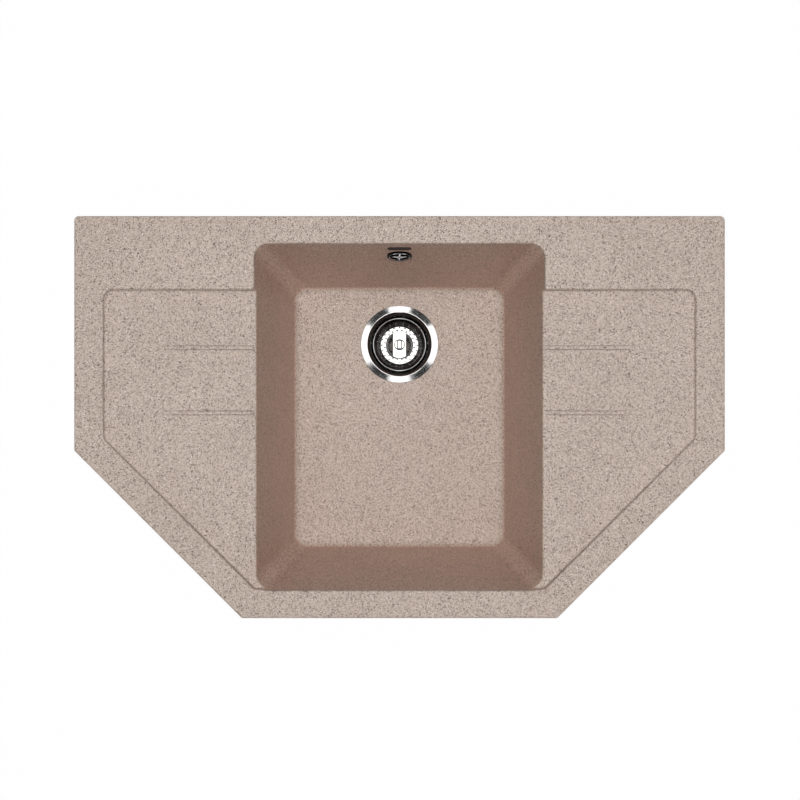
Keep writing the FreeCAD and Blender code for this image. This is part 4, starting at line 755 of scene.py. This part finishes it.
r = math_node(rod_tree, "SUBTRACT", g_in.outputs["Radius"], cut)
to_end = math_node(rod_tree, "MINIMUM", z, math_node(rod_tree, "SUBTRACT", g_in.outputs["Length"], z))
core = math_node(rod_tree, "SUBTRACT", g_in.outputs["Radius"], g_in.outputs["Bevel"])
r = math_node(rod_tree, "MINIMUM", r, math_node(rod_tree, "ADD", core, to_end))
at_tip = math_node(rod_tree, "LESS_THAN", to_end, 0.00001)
r = math_node(rod_tree, "MULTIPLY", r, math_node(rod_tree, "SUBTRACT", 1.0, at_tip))
angle = math_node(rod_tree, "MULTIPLY", around, 2 * math.pi)
bent = put(rod_tree, "ShaderNodeCombineXYZ", {
    0: math_node(rod_tree, "MULTIPLY", r, math_node(rod_tree, "COSINE", angle)),
    1: math_node(rod_tree, "MULTIPLY", r, math_node(rod_tree, "SINE", angle)), 2: z})
rolled = put(rod_tree, "GeometryNodeSetPosition", {"Geometry": grid.outputs["Mesh"],
                                                  "Position": bent.outputs[0]})
closed = put(rod_tree, "GeometryNodeMergeByDistance", {"Geometry": rolled.outputs[0],
                                                      "Distance": 0.000002})
placed = put(rod_tree, "GeometryNodeInstanceOnPoints", {"Points": g_in.outputs["Places"],
                                                        "Instance": closed.outputs[0]})
finish_tree(rod_tree, placed.outputs[0], g_in.outputs["Material"], g_out)
print("threaded rod tree:", len(rod_tree.nodes), "nodes")

# %% The six clamp studs
def points_mesh(name, places):
    mesh = bpy.data.meshes.new(name)
    mesh.from_pydata(places, [], [])
    return mesh


def middle_xy(name):
    low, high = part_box(name)
    return (low.x + high.x) / 2, (low.y + high.y) / 2


stud_low, stud_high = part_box("clamp_studs")
STUD_RADIUS = 0.003
clamp_places = [middle_xy("clamp_nut_%d" % number) for number in range(1, 7)]
print("clamps at", [tuple(round(v, 4) for v in place) for place in clamp_places])
studs = mesh_from(rod_tree, "threaded_studs", {
    "Radius": STUD_RADIUS, "Depth": 0.00045, "Pitch": 0.001, "Length": stud_high.z - stud_low.z,
    "Bevel": 0.0008, "Material": zinc_thread},
    points_mesh("stud places", [(x, y, stud_low.z) for x, y in clamp_places]))

# %% [markdown]
# ## Rolled lips of the perforations
# Each hole in the basket was punched and its edge rolled over, and that thin bright lip is
# what shows of it from above. The solids have the holes; the lips are one small ring repeated
# on three circles. Curves make this short: a circle of points for each row, a small circle
# swept by a smaller one for the lip, and Instance on Points to set one on every point.

# %% Lips on circles of points
lip_tree, g_in, g_out = new_tree("Ring of lips", [
    ("Middle", "Vector", None), ("Row radius", "Float", 0.022), ("Count", "Int", 20),
    ("Start", "Float", 0.0), ("Tilt", "Float", 0.0), ("Lip radius", "Float", 0.0014),
    ("Wire", "Float", 0.0002), ("Stretch", "Float", 1.0), ("Material", "Material", None)])
row = put(lip_tree, "GeometryNodeCurvePrimitiveCircle", {"Resolution": g_in.outputs["Count"],
                                                         "Radius": g_in.outputs["Row radius"]})
spots = put(lip_tree, "GeometryNodeCurveToPoints", {"Curve": row.outputs[0]}, mode="EVALUATED")
lip_line = put(lip_tree, "GeometryNodeCurvePrimitiveCircle", {"Resolution": 16,
                                                             "Radius": g_in.outputs["Lip radius"]})
wire = put(lip_tree, "GeometryNodeCurvePrimitiveCircle", {"Resolution": 6, "Radius": g_in.outputs["Wire"]})
lip = put(lip_tree, "GeometryNodeCurveToMesh", {0: lip_line.outputs[0], 1: wire.outputs[0]})
spot = put(lip_tree, "ShaderNodeSeparateXYZ", {0: put(lip_tree, "GeometryNodeInputPosition").outputs[0]})
bearing = math_node(lip_tree, "ARCTAN2", spot.outputs["Y"], spot.outputs["X"])
turn = put(lip_tree, "ShaderNodeCombineXYZ", {0: 0.0, 1: g_in.outputs["Tilt"], 2: bearing})
size = put(lip_tree, "ShaderNodeCombineXYZ", {0: g_in.outputs["Stretch"], 1: 1.0, 2: 1.0})
each = put(lip_tree, "GeometryNodeInstanceOnPoints", {
    "Points": spots.outputs[0], "Instance": lip.outputs[0], "Rotation": turn.outputs[0],
    "Scale": size.outputs[0]})
start_turn = put(lip_tree, "ShaderNodeCombineXYZ", {0: 0.0, 1: 0.0, 2: g_in.outputs["Start"]})
moved = put(lip_tree, "GeometryNodeTransform", {0: each.outputs[0], "Translation": g_in.outputs["Middle"],
                                                "Rotation": start_turn.outputs[0]})
smooth = put(lip_tree, "GeometryNodeSetShadeSmooth", {0: moved.outputs[0]})
finish_tree(lip_tree, smooth.outputs[0], g_in.outputs["Material"], g_out)
print("lip tree:", len(lip_tree.nodes), "nodes")

# %% Three rows of lips
DRAIN_FLOOR = -0.190           # the bowl floor at the drain
PLATEAU = DRAIN_FLOOR - 0.0245
FLAT_LIP_WIRE, CONE_LIP_WIRE = 0.00015, 0.0005
WALL_SLOPE = math.radians(59.0)
ROW_HOLES = 20
HALF_STEP = math.pi / ROW_HOLES
rows_of_lips = []
for number, (row_radius, z, start, tilt, wire_radius) in enumerate((
        (0.0222, PLATEAU, HALF_STEP, 0.0, FLAT_LIP_WIRE), (0.0263, PLATEAU, 0.0, 0.0, FLAT_LIP_WIRE),
        (0.0312, PLATEAU + 0.00583, HALF_STEP, -WALL_SLOPE, CONE_LIP_WIRE)), 1):
    rows_of_lips.append(mesh_from(lip_tree, "basket_lips_%d" % number, {
        "Middle": (DRAIN.x, DRAIN.y, z), "Row radius": row_radius, "Count": ROW_HOLES, "Start": start,
        "Wire": wire_radius, "Tilt": tilt, "Stretch": 1.0 / math.cos(tilt), "Material": glint_lip_steel}))

# %% [markdown]
# ## The bridge on the basket
# Across the dome of the basket runs a flat band that carries the knob; beside it the dome
# falls away into two dark hollows for the fingers. The band is a flat plate whose two ends
# follow the foot of the dome and turn down to the basket floor. Its outline is two arcs
# joined by straight sides, so the points come from a formula, and a bevel softens its edges.

# %% Bridge
BRIDGE_HALF_WIDTH = 0.0095
BRIDGE_RADIUS = 0.0192
BRIDGE_SHEET = 0.0008
DOME_TOP = DRAIN_FLOOR - 0.0135
BRIDGE_TOP = DOME_TOP + BRIDGE_SHEET
ARC_STEPS = 16


def bridge_arc(radius, front):
    """Points of one curved end: the back one from right to left, the front one from left to right."""
    corner = math.asin(BRIDGE_HALF_WIDTH / radius)
    turn = math.pi if front else 0.0
    steps = [corner - 2 * corner * step / ARC_STEPS for step in range(ARC_STEPS + 1)]
    return [(DRAIN.x + radius * math.sin(a + turn), DRAIN.y + radius * math.cos(a + turn)) for a in steps]


def flat_top():
    """The corners and faces of the flat plate, its upper face first."""
    outline = bridge_arc(BRIDGE_RADIUS, False) + bridge_arc(BRIDGE_RADIUS, True)
    count = len(outline)
    points = [(x, y, z) for z in (BRIDGE_TOP, BRIDGE_TOP - BRIDGE_SHEET) for x, y in outline]
    faces = [tuple(range(count)), tuple(range(2 * count - 1, count - 1, -1))]
    for index in range(count):
        following = (index + 1) % count
        faces.append((following, index, index + count, following + count))
    return points, faces


def turned_down_end(front, base):
    """One end that goes down to the basket floor; base is the number of its first corner."""
    outer = bridge_arc(BRIDGE_RADIUS, front)
    inner = bridge_arc(BRIDGE_RADIUS - BRIDGE_SHEET, front)
    top = BRIDGE_TOP - BRIDGE_SHEET / 2
    rims = ((outer, top), (inner, top), (inner, PLATEAU), (outer, PLATEAU))
    row = ARC_STEPS + 1
    faces = []
    for number in range(len(rims)):
        here = base + number * row
        there = base + (number + 1) % len(rims) * row
        faces += [(here + k, here + k + 1, there + k + 1, there + k) for k in range(ARC_STEPS)]
    faces.append(tuple(base + number * row for number in range(len(rims))))
    faces.append(tuple(base + number * row + ARC_STEPS for number in reversed(range(len(rims)))))
    return [(x, y, z) for rim, z in rims for x, y in rim], faces


def make_bridge():
    points, faces = flat_top()
    for front in (False, True):
        end_points, end_faces = turned_down_end(front, len(points))
        points += end_points
        faces += end_faces
    mesh = bpy.data.meshes.new("basket_bridge")
    mesh.from_pydata(points, [], faces)
    mesh.materials.append(satin_steel)
    piece = bpy.data.objects.new("basket_bridge", mesh)
    bpy.context.scene.collection.objects.link(piece)
    bevel = piece.modifiers.new("soft edges", "BEVEL")
    bevel.width = 0.0002
    bevel.segments = 2
    print("bridge: %d faces" % len(mesh.polygons))
    return piece


bridge = make_bridge()

# %% [markdown]
# ## Floor and room
# The sink stands on a plain pale floor in a plain room. Seen by the camera or in a mirror,
# the floor is mostly its own even white, with the sink's soft shadow left in it; for all
# other light it is an ordinary matt floor. The camera sees a white room; a mirror sees it
# white near the horizon and dark overhead, so that polished metal has something to be dark
# against.

# %% Floor and room
FLOOR_HALF = 25.0
floor_mesh = bpy.data.meshes.new("floor")
floor_corners = [(x * FLOOR_HALF, y * FLOOR_HALF, LOWEST) for x, y in ((-1, -1), (1, -1), (1, 1), (-1, 1))]
floor_mesh.from_pydata(floor_corners, [], [(0, 1, 2, 3)])
floor = bpy.data.objects.new("floor", floor_mesh)
bpy.context.scene.collection.objects.link(floor)


def seen_directly(tree):
    """1 for what the camera, a mirror or glass sees, and 0 for the light that falls on things."""
    path = tree.nodes.new("ShaderNodeLightPath")
    mirror = math_node(tree, "MAXIMUM", path.outputs["Is Glossy Ray"], path.outputs["Is Transmission Ray"])
    return math_node(tree, "MAXIMUM", path.outputs["Is Camera Ray"], mirror)


FLOOR_OWN_WHITE = 0.98
floor_material, tree, shader, place = new_material("Pale floor", Roughness=0.9)
dust = colour_steps(tree, noise(tree, place, 3.0, 4.0), [(0.3, 0.89, 0.89, 0.89), (0.7, 0.92, 0.92, 0.92)])
tree.links.new(dust, shader.inputs["Base Color"])
white = put(tree, "ShaderNodeEmission", {"Color": (1.0, 1.0, 1.0, 1.0), "Strength": 1.0})
share = product(tree, seen_directly(tree), FLOOR_OWN_WHITE)
mixed = put(tree, "ShaderNodeMixShader", {0: share, 1: shader.outputs[0], 2: white.outputs[0]})
tree.links.new(mixed.outputs[0], tree.nodes["Material Output"].inputs["Surface"])
floor.data.materials.append(floor_material)

AMBIENT = 0.10
world = bpy.data.worlds.new("room")
bpy.context.scene.world = world
world.use_nodes = True
tree = world.node_tree
direction = put(tree, "ShaderNodeTexCoord").outputs["Generated"]
room = colour_steps(tree, split(tree, direction)["Z"], [
    (0.0, 1.0, 1.0, 1.0), (0.10, 1.0, 1.0, 1.0), (0.20, 0.10, 0.10, 0.10), (1.0, 0.035, 0.035, 0.037)])
to_camera = tree.nodes.new("ShaderNodeLightPath").outputs["Is Camera Ray"]
room = blend_colour(tree, to_camera, room, (1.0, 1.0, 1.0, 1.0))
ambient = tree.nodes["Background"]
ambient.inputs["Color"].default_value = (1.0, 1.0, 1.0, 1.0)
ambient.inputs["Strength"].default_value = AMBIENT
shown = put(tree, "ShaderNodeBackground", {"Color": room, "Strength": 1.0})
mixed = put(tree, "ShaderNodeMixShader", {0: seen_directly(tree), 1: ambient.outputs[0], 2: shown.outputs[0]})
tree.links.new(mixed.outputs[0], tree.nodes["World Output"].inputs["Surface"])
print("floor at %.4f, ambient %.2f" % (LOWEST, AMBIENT))

# %% [markdown]
# ## Lamps
# Two long soft lamps cross overhead, and a third stands square in their middle. Most of the
# light comes from above, as in the picture, so the walls of the bowl are darker than its floor
# and the raised ribs show only by their edges. The cross shapes the gleam of the drain flange:
# bright towards the four arms, dark in the four gaps between them. The middle lamp gives most
# of the light but no mirror shows it, or every level piece of steel would be white.

# %% Lamps
LAMP_HEIGHT = 2.9
ARM_BRIGHTNESS = 1.9           # light given off per area, against 1 for a white that just clips
MIDDLE_BRIGHTNESS = 38.0
ARM_AT_Y = 0.33                # where the camera sees the middle of this arm in the drain flange


def soft_lamp(name, width, length, height, brightness, at_y=0.0, mirrored=True):
    lamp = bpy.data.lights.new(name, "AREA")
    lamp.shape = "RECTANGLE"
    lamp.size = width
    lamp.size_y = length
    lamp.energy = brightness * math.pi * width * length
    lamp_object = bpy.data.objects.new(name, lamp)
    lamp_object.location = (0.0, at_y, height)
    lamp_object.visible_glossy = mirrored
    bpy.context.scene.collection.objects.link(lamp_object)
    print("%s: %.1f W" % (name, lamp.energy))


soft_lamp("lamp left to right", 3.2, 0.77, LAMP_HEIGHT, ARM_BRIGHTNESS, ARM_AT_Y)
soft_lamp("lamp front to back", 0.44, 6.0, LAMP_HEIGHT + 0.01, ARM_BRIGHTNESS)
soft_lamp("lamp in the middle", 0.7, 0.7, LAMP_HEIGHT - 0.01, MIDDLE_BRIGHTNESS, mirrored=False)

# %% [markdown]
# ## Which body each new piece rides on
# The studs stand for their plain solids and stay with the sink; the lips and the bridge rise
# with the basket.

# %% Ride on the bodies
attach(studs, "sink")
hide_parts("clamp_studs")
for piece in rows_of_lips + [bridge]:
    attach(piece, "basket")
